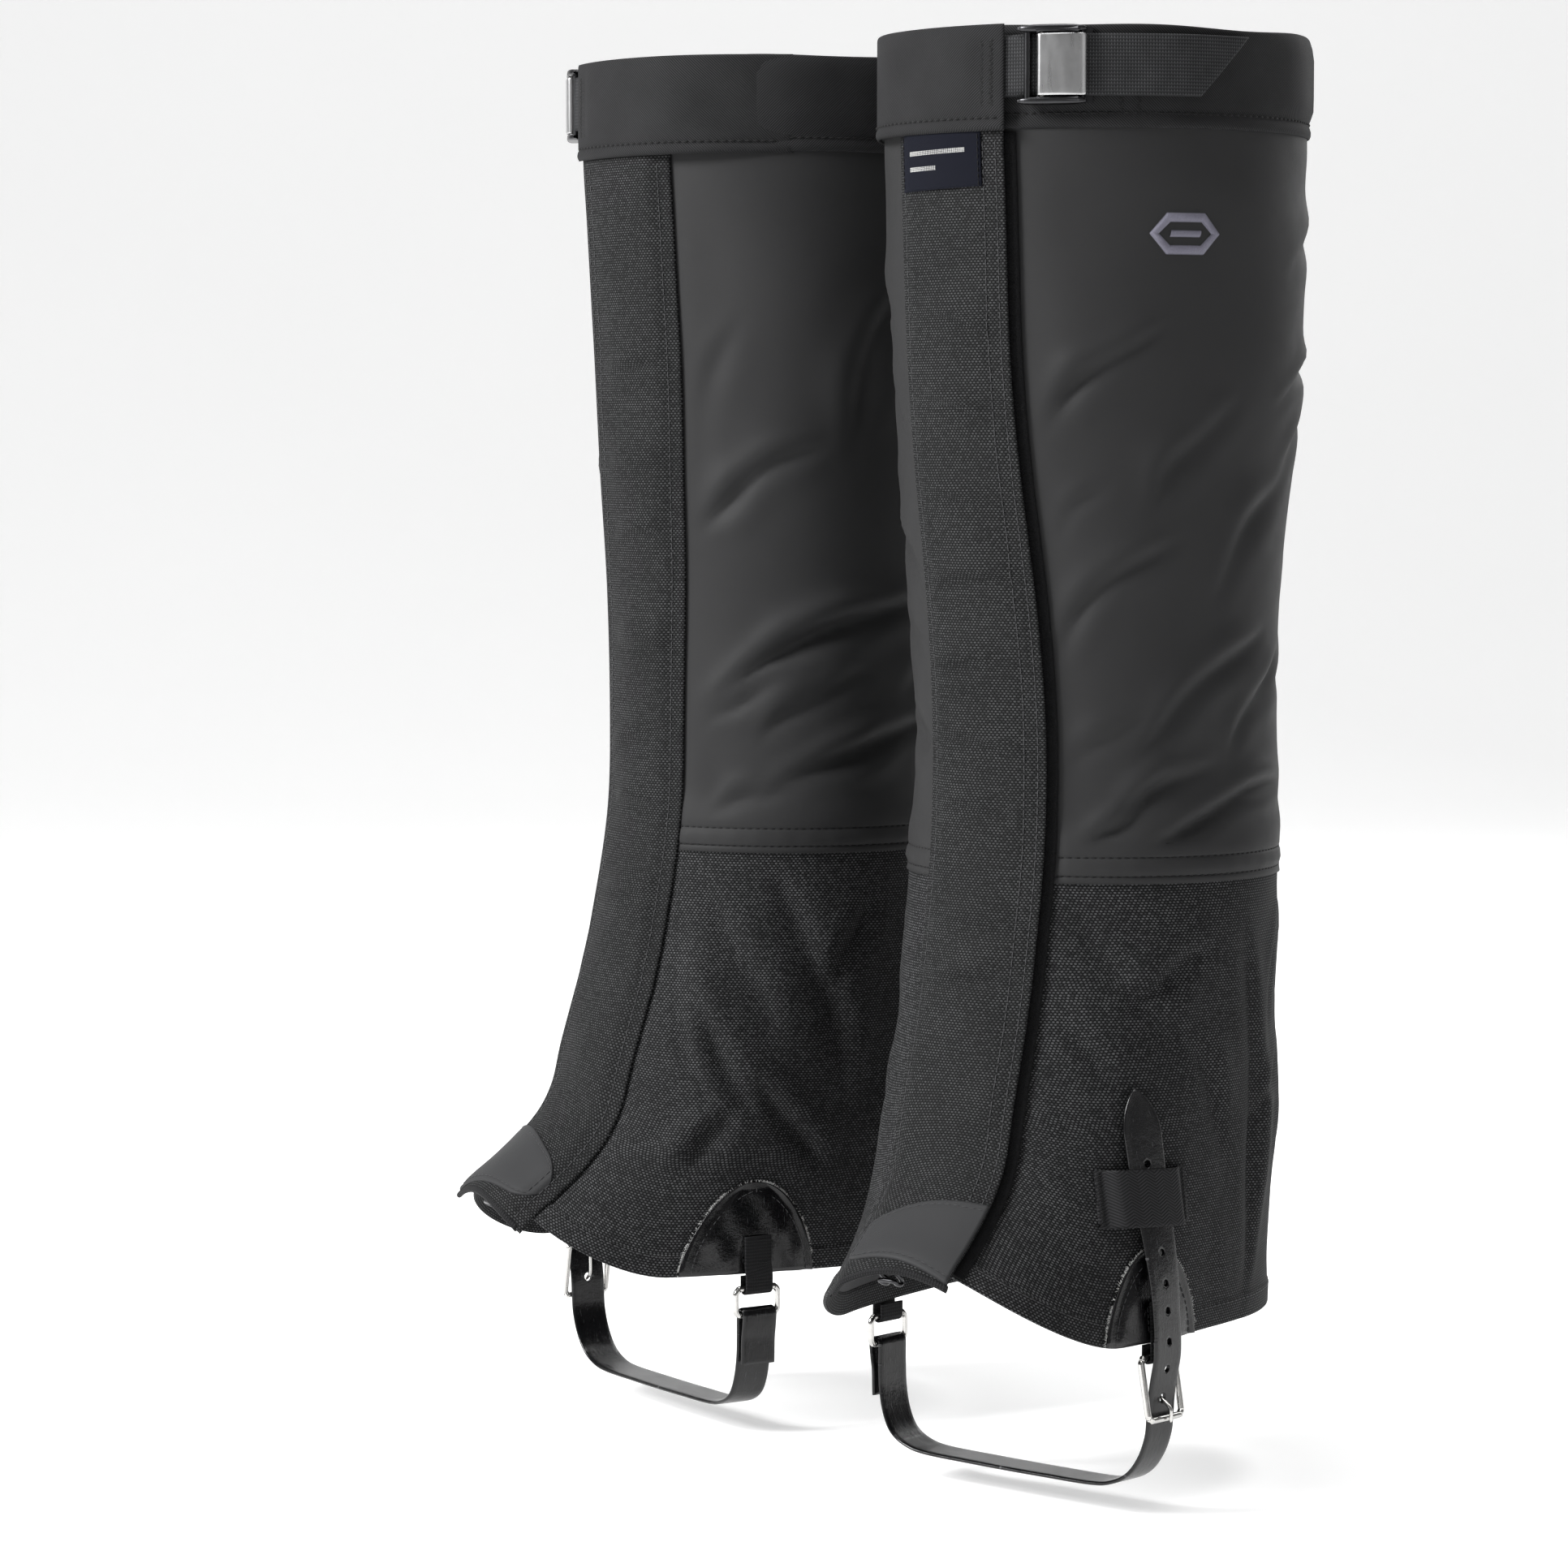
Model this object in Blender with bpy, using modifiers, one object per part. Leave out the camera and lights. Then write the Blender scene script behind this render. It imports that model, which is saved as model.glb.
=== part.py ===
"""A mirrored pair of knee-high hiking gaiters in their worn shape.

Metres, +Z up. The wearer faces -Y and the left gaiter is at +X. Each gaiter is built in its own
leg frame (x to the outer side, y to the heel, z up from the ground) and then placed.
"""
import math

import bmesh
import bpy
from mathutils import Vector

# ---- overall sizes
LEG_SPACING = 0.175
TOE_OUT = math.radians(15.0)
TOP_Z = 0.520
CUFF_Z = 0.485
SEAM_Z = 0.222
INSTEP_Z = 0.170
HEM_Z = 0.063
FLAP_END_Z = 0.054
TOE_LIFT = 0.0306
LIFT_SPREAD = math.radians(38.0)
TOE_BLUNTNESS = 1.2

# ---- the leg: nominal height, then side, front and back reach of the fabric's inner face
STATIONS = (
    (0.054, 0.0615, 0.1263, 0.0690),
    (0.063, 0.0620, 0.1215, 0.0690),
    (0.075, 0.0625, 0.1120, 0.0685),
    (0.090, 0.0630, 0.1010, 0.0682),
    (0.105, 0.0636, 0.0920, 0.0680),
    (0.120, 0.0642, 0.0865, 0.0678),
    (0.140, 0.0648, 0.0830, 0.0675),
    (0.170, 0.0652, 0.0763, 0.0670),
    (0.190, 0.0656, 0.0713, 0.0668),
    (0.233, 0.0658, 0.0637, 0.0668),
    (0.270, 0.0645, 0.0625, 0.0655),
    (0.320, 0.0660, 0.0640, 0.0670),
    (0.370, 0.0704, 0.0680, 0.0710),
    (0.420, 0.0737, 0.0712, 0.0740),
    (0.460, 0.0750, 0.0735, 0.0752),
    (0.485, 0.0750, 0.0750, 0.0750),
    (0.520, 0.0750, 0.0750, 0.0750),
)

# ---- layers, counted outwards from the fabric's inner face
GAP = 0.0003
SHELL_THICK = 0.0010
CUFF_THICK = 0.0016
LOOP_OFF = 0.0015
HOOK_OFF = 0.0025
TAPE_THICK = 0.0008
FLAP_OFF = 0.0037
FLAP_THICK = 0.0012
FLAP_CUFF_OFF = 0.0053
FLAP_CUFF_LAP = 0.0010
PATCH_OFF = 0.0013
PATCH_THICK = 0.0008

# ---- the flap; arcs are measured around the leg from the flap's centre line
FLAP_CENTRE_X = -0.0105
FLAP_DRIFT = 0.0045  # how far the flap's centre line leans inwards at the top and outwards below
FLAP_HALF = 0.025
SHELL_OUTER_ARC = -0.004
SHELL_INNER_ARC = -0.012
FLAP_AXIS = (-0.0425, -0.0708)

# ---- cinch at the cuff; angles are measured from the front towards the outer side
CINCH_Z = 0.5060
WEB_WIDTH = 0.021
WEB_THICK = 0.0012
WEB_OFF = 0.0030
WEB_START = math.radians(-6.0)
WEB_END_TOP = math.radians(73.5)
WEB_END_BOTTOM = math.radians(58.5)
BUCKLE_ANGLE = math.radians(22.0)
BUCKLE_WIDTH = 0.023
CHEEK_HALF = 0.0109
CHEEK_THICK = 0.0020
PIN_RADIUS = 0.0008

# ---- instep strap
STRAP_WIDTH = 0.015
STRAP_THICK = 0.0014
OUTER_STRAP_Y = -0.056
INNER_STRAP_Y = -0.040
STRAP_BOTTOM_Z = 0.0105
TAIL_OFF = 0.0047
TAIL_TOP_Z = 0.149
HOLE_PITCH = 0.0103
HOLE_RADIUS = 0.0019
FIRST_HOLE_Z = 0.0432
WIRE_RADIUS = 0.0012
BAR_Z = 0.0580
BAR_N = 0.0010
FAR_BAR_Z = 0.0365
FAR_BAR_N = 0.0048
RING_TOP_Z = 0.0575
RING_LOW_Z = 0.0475
FRAME_HALF = 0.0093
PRONG_RADIUS = 0.00055
TAB_WIDTH = 0.012
TAB_RADIUS = 0.0019
TAB_TOP_Z = 0.0618
SWING_Z = 0.0626
KEEPER_LOW_Z = 0.103
KEEPER_HIGH_Z = 0.123

COLLECTION = "hiking_gaiters"
CUTTERS = "cutters"

MATERIALS = {
    "smooth_nylon": ((0.050, 0.050, 0.055), 0.75, 0.0),
    "coarse_nylon": ((0.030, 0.031, 0.034), 0.85, 0.0),
    "cuff_twill": ((0.055, 0.055, 0.060), 0.80, 0.0),
    "hook_tape": ((0.010, 0.010, 0.011), 0.90, 0.0),
    "toe_patch_fabric": ((0.090, 0.090, 0.095), 0.60, 0.0),
    "coated_patch": ((0.012, 0.012, 0.013), 0.35, 0.0),
    "webbing_grey": ((0.045, 0.046, 0.050), 0.80, 0.0),
    "webbing_black": ((0.012, 0.012, 0.013), 0.80, 0.0),
    "strap_black": ((0.010, 0.010, 0.011), 0.40, 0.0),
    "steel_wire": ((0.600, 0.600, 0.610), 0.25, 1.0),
    "buckle_dark": ((0.030, 0.030, 0.033), 0.40, 1.0),
    "lever_grey": ((0.180, 0.180, 0.190), 0.35, 1.0),
    "label_weave": ((0.012, 0.016, 0.030), 0.85, 0.0),
    "badge_thread": ((0.450, 0.440, 0.470), 0.60, 0.0),
}


# ---------------------------------------------------------------- scene helpers
def clear_scene():
    for obj in list(bpy.data.objects):
        bpy.data.objects.remove(obj, do_unlink=True)
    for col in list(bpy.data.collections):
        bpy.data.collections.remove(col)


def collection(name):
    col = bpy.data.collections.new(name)
    bpy.context.scene.collection.children.link(col)
    return col


def material(name):
    found = bpy.data.materials.get(name)
    if found:
        return found
    colour, roughness, metallic = MATERIALS[name]
    mat = bpy.data.materials.new(name)
    mat.use_nodes = True
    shader = mat.node_tree.nodes["Principled BSDF"]
    shader.inputs["Base Color"].default_value = (*colour, 1.0)
    shader.inputs["Roughness"].default_value = roughness
    shader.inputs["Metallic"].default_value = metallic
    mat.diffuse_color = (*colour, 1.0)
    return mat


class Gaiter:
    """One gaiter: side is +1 for the left leg and -1 for the right."""

    def __init__(self, side):
        self.side = side
        self.prefix = "left_" if side > 0 else "right_"
        self.place = Vector((side * LEG_SPACING / 2, 0.0, 0.0))
        self.turn = side * TOE_OUT

    def own(self, point, pivot=(0.0, 0.0, 0.0)):
        """Leg-frame point to this gaiter's mesh coordinates about a pivot."""
        return Vector((self.side * (point[0] - pivot[0]), point[1] - pivot[1], point[2] - pivot[2]))

    def world(self, point):
        x = self.side * point[0]
        c, s = math.cos(self.turn), math.sin(self.turn)
        return self.place + Vector((c * x - s * point[1], s * x + c * point[1], point[2]))

    def add(self, name, data, mat, pivot=(0.0, 0.0, 0.0)):
        obj = bpy.data.objects.new(self.prefix + name, data)
        bpy.data.collections[COLLECTION].objects.link(obj)
        obj.location = self.world(pivot)
        obj.rotation_euler = (0.0, 0.0, self.turn)
        data.materials.append(material(mat))
        return obj


def keep_parent(child, parent):
    bpy.context.view_layer.update()
    child.parent = parent
    child.matrix_parent_inverse = parent.matrix_world.inverted()


def modifier(obj, kind, **settings):
    mod = obj.modifiers.new(kind.title(), kind)
    for key, value in settings.items():
        setattr(mod, key, value)
    return mod


# ---------------------------------------------------------------- the leg's surface
def reach(height):
    """Side, front and back reach at a nominal height, eased between the stations."""
    count = len(STATIONS)
    index = 0
    while index < count - 2 and height > STATIONS[index + 1][0]:
        index += 1
    low, high = STATIONS[index], STATIONS[index + 1]
    span = high[0] - low[0]
    t = (height - low[0]) / span
    before = STATIONS[max(index - 1, 0)]
    after = STATIONS[min(index + 2, count - 1)]
    result = []
    for k in (1, 2, 3):
        slope_low = (high[k] - before[k]) / (high[0] - before[0]) * span
        slope_high = (after[k] - low[k]) / (after[0] - low[0]) * span
        h00 = 2 * t**3 - 3 * t**2 + 1
        h10 = t**3 - 2 * t**2 + t
        h01 = -2 * t**3 + 3 * t**2
        h11 = t**3 - t**2
        result.append(h00 * low[k] + h10 * slope_low + h01 * high[k] + h11 * slope_high)
    return result


def below_instep(height):
    return max(0.0, (INSTEP_Z - height) / (INSTEP_Z - HEM_Z))


def base_point(angle, height):
    """Inner face of the fabric at an angle from the front and a nominal height."""
    side, front, back = reach(height)
    low = below_instep(height)
    sine, cosine = math.sin(angle), math.cos(angle)
    depth = front if cosine > 0 else back
    power = 2.0 + (TOE_BLUNTNESS * low if cosine > 0 else 0.0)
    radius = (abs(sine / side) ** power + abs(cosine / depth) ** power) ** (-1.0 / power)
    wrapped = abs(math.remainder(angle, 2 * math.pi))
    near_front = max(0.0, 1.0 - wrapped / LIFT_SPREAD)
    ease = near_front * near_front * (3 - 2 * near_front)
    lift = TOE_LIFT * low**1.5 * ease
    return Vector((radius * sine, -radius * cosine, height + lift))


def fabric_point(angle, height, off):
    """Point at a distance outside the fabric's inner face."""
    step = 0.002
    around = base_point(angle + step, height) - base_point(angle - step, height)
    upward = base_point(angle, height + 0.0005) - base_point(angle, height - 0.0005)
    normal = around.cross(upward).normalized()
    return base_point(angle, height) + normal * off


def flap_centre(height):
    """The flap's centre line drifts to the outer side down the shin."""
    share = min(1.0, max(0.0, (height - 0.260) / 0.160))
    return FLAP_CENTRE_X + FLAP_DRIFT * (1.0 - 2.0 * share * share * (3.0 - 2.0 * share))


def angle_at_arc(arc, height, centre=None):
    """Angle at an arc length around the leg from a line of constant x, or the flap's centre line."""
    if centre is None:
        centre = flap_centre(height)
    angle = 0.0
    for _ in range(30):
        here = base_point(angle, height)
        slope = (base_point(angle + 0.002, height).x - base_point(angle - 0.002, height).x) / 0.004
        angle += (centre - here.x) / slope
    steps = 12
    for _ in range(steps):
        rate = (base_point(angle + 0.002, height) - base_point(angle - 0.002, height)).length / 0.004
        middle = angle + 0.5 * arc / steps / rate
        rate = (base_point(middle + 0.002, height) - base_point(middle - 0.002, height)).length / 0.004
        angle += arc / steps / rate
    return angle


def angle_at_y(target, height, inner=False):
    """Angle on the outer or inner side where the fabric is at a given y."""
    low, high = math.radians(5.0), math.radians(150.0)
    for _ in range(40):
        middle = 0.5 * (low + high)
        if base_point(middle, height).y < target:
            low = middle
        else:
            high = middle
    return -low if inner else low


def levels(low, high):
    """Rows shared by every layer, finer where the instep turns forward."""
    marks = [0.057, 0.063, 0.0735, 0.084, 0.095, 0.107, 0.120, 0.137, 0.160, 0.190]
    marks += [SEAM_Z + 0.0525 * k for k in range(1, 5)]
    inside = [m for m in marks if low + 0.002 < m < high - 0.002]
    return [low] + inside + [high]


# ---------------------------------------------------------------- solids
def sheet(gaiter, name, rows, columns, place, thick, mat, pivot=(0.0, 0.0, 0.0), side_of=1.0):
    """Lofted grid with a thickness. place(column fraction, row value) gives its inner face,
    or its middle where side_of is 0."""
    bm = bmesh.new()
    grid = []
    for row in rows:
        line = []
        for c in range(columns + 1):
            line.append(bm.verts.new(gaiter.own(place(c / columns, row), pivot)))
        grid.append(line)
    for r in range(len(rows) - 1):
        for c in range(columns):
            corners = [grid[r][c], grid[r][c + 1], grid[r + 1][c + 1], grid[r + 1][c]]
            if gaiter.side < 0:
                corners.reverse()
            bm.faces.new(corners)
    mesh = bpy.data.meshes.new(gaiter.prefix + name)
    bm.to_mesh(mesh)
    bm.free()
    obj = gaiter.add(name, mesh, mat, pivot)
    modifier(obj, "SOLIDIFY", thickness=thick, offset=side_of, use_even_offset=True)
    return obj


def wire(gaiter, name, points, radius, mat, cyclic=False, pivot=(0.0, 0.0, 0.0)):
    curve = bpy.data.curves.new(gaiter.prefix + name, "CURVE")
    curve.dimensions = "3D"
    curve.bevel_depth = radius
    curve.bevel_resolution = 2
    curve.use_fill_caps = True
    spline = curve.splines.new("POLY")
    spline.points.add(len(points) - 1)
    for slot, point in zip(spline.points, points):
        slot.co = (*gaiter.own(point, pivot), 1.0)
    spline.use_cyclic_u = cyclic
    return gaiter.add(name, curve, mat, pivot)


def cutter(gaiter, name, mesh, location, rotation):
    """A solid that only cuts or joins, in the cutters collection."""
    obj = bpy.data.objects.new(gaiter.prefix + name, mesh)
    bpy.data.collections[CUTTERS].objects.link(obj)
    obj.location = location
    obj.rotation_euler = rotation
    obj.hide_render = True
    obj.display_type = "WIRE"
    return obj


def rod_mesh(name, radius, depth, segments):
    mesh = bpy.data.meshes.new(name)
    bm = bmesh.new()
    bmesh.ops.create_cone(bm, cap_ends=True, segments=segments, radius1=radius, radius2=radius,
                          depth=depth)
    bm.to_mesh(mesh)
    bm.free()
    return mesh


def box_mesh(name, size):
    mesh = bpy.data.meshes.new(name)
    bm = bmesh.new()
    bmesh.ops.create_cube(bm, size=1.0)
    bmesh.ops.scale(bm, vec=size, verts=bm.verts)
    bm.to_mesh(mesh)
    bm.free()
    return mesh


def rounded_rectangle(half_u, half_v, corner, steps=2):
    points = []
    for quarter in range(4):
        cx = (half_u - corner) * (1 if quarter in (0, 3) else -1)
        cy = (half_v - corner) * (1 if quarter in (0, 1) else -1)
        for k in range(steps + 1):
            turn = math.radians(90.0 * quarter + 90.0 * k / steps)
            points.append((cx + corner * math.cos(turn), cy + corner * math.sin(turn)))
    return points


# ---------------------------------------------------------------- one gaiter
def build_shell(g):
    def shell(off):
        def place(c, height):
            start = angle_at_arc(SHELL_OUTER_ARC, height, FLAP_CENTRE_X)
            end = angle_at_arc(SHELL_INNER_ARC, height, FLAP_CENTRE_X) + 2 * math.pi
            return fabric_point(start + c * (end - start), height, off)

        return place

    columns = 20
    upper = sheet(g, "upper_panel", levels(SEAM_Z + GAP, CUFF_Z - GAP), columns, shell(0.0),
                  SHELL_THICK, "smooth_nylon")
    sheet(g, "lower_panel", levels(HEM_Z, SEAM_Z), columns, shell(0.0), SHELL_THICK, "coarse_nylon")
    sheet(g, "cuff_band", [CUFF_Z, TOP_Z], 24, shell(0.0), CUFF_THICK, "cuff_twill")
    return upper


def around_front(start_arc, end_arc, off):
    def place(c, height):
        arc = start_arc + c * (end_arc - start_arc)
        return fabric_point(angle_at_arc(arc, height), height, off)

    return place


def build_front(g):
    pivot = (FLAP_AXIS[0], FLAP_AXIS[1], 0.0)
    rows = levels(FLAP_END_Z, CUFF_Z - GAP)

    def flap_place(c, height):
        arc = -FLAP_HALF + 2 * FLAP_HALF * c
        rise = min(1.0, (arc + FLAP_HALF) / 0.010)
        off = LOOP_OFF + (FLAP_OFF - LOOP_OFF) * rise
        return fabric_point(angle_at_arc(arc, height), height, off)

    def toe_place(c, v):
        low = FLAP_END_Z + 0.003 + 0.008 * (1.0 - c)
        high = 0.083 + 0.011 * c
        arc = 0.003 - FLAP_HALF + (2 * FLAP_HALF - 0.006) * c
        row = low + (high - low) * v
        return fabric_point(angle_at_arc(arc, row), row, FLAP_OFF + FLAP_THICK + 4 * GAP)

    flap = sheet(g, "front_flap", rows, 5, flap_place, FLAP_THICK, "coarse_nylon", pivot)
    tape_rows = levels(HEM_Z, CUFF_Z - 0.002)
    sheet(g, "loop_strip", tape_rows, 4, around_front(-0.003, FLAP_HALF + 0.003, LOOP_OFF),
          TAPE_THICK, "hook_tape")
    riders = [
        sheet(g, "hook_strip", tape_rows, 3, around_front(0.001, FLAP_HALF - 0.002, HOOK_OFF),
              TAPE_THICK, "hook_tape", pivot),
        sheet(g, "flap_cuff", [CUFF_Z - FLAP_CUFF_LAP, TOP_Z], 6,
              around_front(-FLAP_HALF, FLAP_HALF + 0.001, FLAP_CUFF_OFF), FLAP_THICK,
              "cuff_twill", pivot),
        sheet(g, "toe_patch", [k / 8 for k in range(9)], 5, toe_place, 0.0006, "toe_patch_fabric",
              pivot),
        sheet(g, "lace_hook_tab", [FLAP_END_Z + 0.001, 0.0605], 2,
              around_front(-0.006, 0.006, FLAP_OFF - 2 * GAP - 0.0009), 0.0009, "webbing_black", pivot),
        lace_hook(g, pivot),
    ]
    if g.side > 0:
        riders.append(sheet(g, "label", [CUFF_Z - 0.020, CUFF_Z - 0.002], 4,
                            around_front(-0.0205, 0.0165, FLAP_OFF + FLAP_THICK + GAP), 0.0005,
                            "label_weave", pivot))
    for rider in riders:
        keep_parent(rider, flap)
    return flap


def lace_hook(g, pivot):
    """Bent wire under the toe end: two feet under the tab and a hook that turns back up."""
    foot = fabric_point(angle_at_arc(0.0, 0.0575), 0.0575, FLAP_OFF - 0.0027)
    inward = (foot - fabric_point(angle_at_arc(0.0, 0.0575), 0.0575, FLAP_OFF)).normalized()
    forward = Vector((0.0, -1.0, 0.0))
    profile = ((0.0, 0.0), (0.003, 0.0), (0.0055, 0.0), (0.0068, -0.0012), (0.0070, -0.0028),
               (0.0060, -0.0040), (0.0045, -0.0042))
    points = []
    for sign, path in ((-1, profile), (1, tuple(reversed(profile)))):
        for deep, ahead in path:
            narrow = 0.0035 if deep < 0.004 else 0.0028
            points.append(foot + inward * deep - forward * ahead + Vector((sign * narrow, 0.0, 0.0)))
    return wire(g, "lace_hook", points, 0.0007, "steel_wire", pivot=pivot)


def build_badge(g):
    def place(c, height):
        return fabric_point(math.radians(45.5 + 21.5 * c), height, PATCH_OFF)

    sheet(g, "badge", [0.441, 0.456], 3, place, 0.0006, "badge_thread")


def build_cinch(g):
    half = WEB_WIDTH / 2

    def web_place(c, v):
        end = WEB_END_BOTTOM + (WEB_END_TOP - WEB_END_BOTTOM) * v
        straight = WEB_END_BOTTOM - math.radians(8.0)
        if c < 0.75:
            angle = WEB_START + c / 0.75 * (straight - WEB_START)
        else:
            angle = straight + (c - 0.75) / 0.25 * (end - straight)
        return fabric_point(angle, CINCH_Z - half + v * WEB_WIDTH, WEB_OFF)

    sheet(g, "cinch_webbing", [0.0, 0.333, 0.667, 1.0], 12, web_place, WEB_THICK, "webbing_grey")

    def base_place(c, height):
        angle = BUCKLE_ANGLE + (c - 0.5) * BUCKLE_WIDTH / 0.0775
        return fabric_point(angle, height, CUFF_THICK + GAP)

    low = CINCH_Z - CHEEK_HALF - CHEEK_THICK
    high = CINCH_Z + CHEEK_HALF + CHEEK_THICK
    base = sheet(g, "cinch_base", [low, high], 4, base_place, 0.0008, "buckle_dark")

    # Buckle axes: u around the leg, n outwards, z up.
    centre = fabric_point(BUCKLE_ANGLE, CINCH_Z, 0.0)
    normal = Vector((math.sin(BUCKLE_ANGLE), -math.cos(BUCKLE_ANGLE), 0.0))
    along = Vector((math.cos(BUCKLE_ANGLE), math.sin(BUCKLE_ANGLE), 0.0))
    pin = centre + along * -0.0055 + normal * 0.0063
    pin_low = Vector((pin.x, pin.y, low - 0.0004))

    for sign, tag in ((-1, "low"), (1, "high")):
        mesh = box_mesh(g.prefix + "cheek_" + tag, (0.0160, 0.0059, CHEEK_THICK))
        spot = centre + normal * 0.00505
        level = CINCH_Z + sign * (CHEEK_HALF + CHEEK_THICK / 2)
        cheek = cutter(g, "cheek_" + tag, mesh, g.world((spot.x, spot.y, level)),
                       (0.0, 0.0, g.turn + g.side * BUCKLE_ANGLE))
        modifier(cheek, "BEVEL", width=0.0008, segments=1, limit_method="ANGLE")
        modifier(base, "BOOLEAN", operation="UNION", object=cheek, solver="EXACT")
    hole = cutter(g, "pin_hole", rod_mesh(g.prefix + "pin_hole", PIN_RADIUS + 0.0003, 0.06, 12),
                  g.world((pin.x, pin.y, CINCH_Z)), (0.0, 0.0, 0.0))
    modifier(base, "BOOLEAN", operation="DIFFERENCE", object=hole, solver="EXACT")

    wire(g, "cinch_pin", [pin_low, Vector((pin.x, pin.y, high + 0.0004))], PIN_RADIUS, "steel_wire",
         pivot=tuple(pin_low))

    # Lever: a barrel around the pin and a plate lying over the webbing.
    lever_half = CHEEK_HALF - GAP
    pivot = (pin.x, pin.y, CINCH_Z)
    outline = []
    for k in range(9):
        turn = math.radians(270.0 - 22.5 * k)
        outline.append((0.0017 * math.cos(turn), 0.0017 * math.sin(turn)))
    outline += [(0.0060, 0.0021), (0.0110, 0.0014), (0.0150, 0.0006), (0.0152, -0.0008),
                (0.0110, -0.0001), (0.0060, 0.0004), (0.0022, 0.0001)]
    mesh = bpy.data.meshes.new(g.prefix + "cinch_lever")
    bm = bmesh.new()
    rings = []
    for z in (-lever_half, lever_half):
        ring = []
        for u, n in outline:
            spot = pin + along * u + normal * n
            ring.append(bm.verts.new(g.own((spot.x, spot.y, CINCH_Z + z), pivot)))
        rings.append(ring)
    bm.faces.new(rings[0])
    bm.faces.new(list(reversed(rings[1])))
    count = len(outline)
    for k in range(count):
        bm.faces.new([rings[0][k], rings[1][k], rings[1][(k + 1) % count], rings[0][(k + 1) % count]])
    bmesh.ops.recalc_face_normals(bm, faces=bm.faces)
    bm.to_mesh(mesh)
    bm.free()
    lever = g.add("cinch_lever", mesh, "lever_grey", pivot)
    modifier(lever, "BOOLEAN", operation="DIFFERENCE", object=hole, solver="EXACT")


def strap_axes():
    """Hem points above the two strap ends and the directions along and across the strap."""
    height = HEM_Z + 0.001
    outer = base_point(angle_at_y(OUTER_STRAP_Y, height), height)
    inner = base_point(angle_at_y(INNER_STRAP_Y, height, inner=True), height)
    along = Vector((outer.x - inner.x, outer.y - inner.y, 0.0)).normalized()
    across = Vector((-along.y, along.x, 0.0))
    return outer, inner, along, across


def arched_patch(g, name, strap_y, inner, half_width, height):
    centre = angle_at_y(strap_y, HEM_Z + 0.001, inner)
    radius = base_point(centre, HEM_Z).xy.length

    def place(c, row):
        share = min(1.0, (row - HEM_Z) / height)
        half = half_width * math.sqrt(max(0.02, 1.0 - share**1.6))
        middle = angle_at_y(strap_y, row, inner)
        return fabric_point(middle + (2 * c - 1) * half / radius, row, PATCH_OFF)

    rows = [HEM_Z + 0.0005 + (height - 0.001) * k / 5 for k in range(6)]
    sheet(g, name, rows, 5, place, PATCH_THICK, "coated_patch")


def on_side(strap_y, inner, off):
    """Placing along a vertical strap on the outer or inner side; column gives width."""
    def place_width(width):
        def place(c, height):
            centre = angle_at_y(strap_y, height, inner)
            rate = (base_point(centre + 0.01, height) - base_point(centre - 0.01, height)).length / 0.02
            return fabric_point(centre + (c - 0.5) * width / rate, height, off)

        return place

    return place_width


def punch_holes(g, obj, spots):
    """Round holes through a strap; spots holds (centre, outward direction) in the leg frame."""
    for k, (spot, outward) in enumerate(spots):
        direction = g.world(spot + outward) - g.world(spot)
        mesh = rod_mesh(obj.name + "_hole", HOLE_RADIUS, 0.008, 8)
        tag = obj.name.removeprefix(g.prefix) + "_hole_" + str(k)
        punch = cutter(g, tag, mesh, g.world(spot), direction.to_track_quat("Z", "Y").to_euler())
        modifier(obj, "BOOLEAN", operation="DIFFERENCE", object=punch, solver="EXACT")


def strap_path():
    """Centre line of the instep loop: distance in from each hem point, and height."""
    outer_part = [(-0.0055, 0.0580), (-0.0042, 0.0510), (-0.0029, 0.0432), (-0.0024, 0.0365),
                  (-0.0016, 0.0300), (0.0014, 0.0225), (0.0065, 0.0160), (0.0135, 0.0122),
                  (0.0230, STRAP_BOTTOM_Z)]
    inner_part = [(0.0230, STRAP_BOTTOM_Z), (0.0135, 0.0122), (0.0070, 0.0160), (0.0034, 0.0225),
                  (0.0016, 0.0310), (0.0012, 0.0400)]
    for k in range(5):
        turn = math.radians(45.0 * k)
        inner_part.append((-BAR_N + 0.0022 * math.cos(turn), RING_LOW_Z + 0.0022 * math.sin(turn)))
    inner_part += [(-0.0018, 0.0420), (-0.0005, 0.0380), (-0.0001, 0.0310), (0.0002, 0.0290)]
    return outer_part, inner_part


def build_tail(g):
    """The strap's pointed end, from above the buckle up through the keeper."""
    place = on_side(OUTER_STRAP_Y, False, TAIL_OFF)(STRAP_WIDTH)
    clear = STRAP_WIDTH / 2 + 0.0005
    taper = 0.006

    def point(c, row):
        if row < 0:
            aside = (c - 0.5) * STRAP_WIDTH
            return place(c, SWING_Z + math.sqrt(clear**2 - aside**2))
        above = max(0.0, row - TAIL_TOP_Z + taper) / taper
        return place(0.5 + (c - 0.5) * (1.0 - 0.6 * above), row)

    low = SWING_Z + clear + 0.0012
    rows = [-1.0] + [low + (TAIL_TOP_Z - taper - low) * k / 5 for k in range(6)] + [TAIL_TOP_Z]
    tail = sheet(g, "strap_tail", rows, 4, point, STRAP_THICK, "strap_black")

    further = on_side(OUTER_STRAP_Y, False, TAIL_OFF + 0.005)(STRAP_WIDTH)
    spots = []
    for k in range(4, 9):
        height = FIRST_HOLE_Z + HOLE_PITCH * k
        spots.append((place(0.5, height), further(0.5, height) - place(0.5, height)))
    punch_holes(g, tail, spots)


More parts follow.
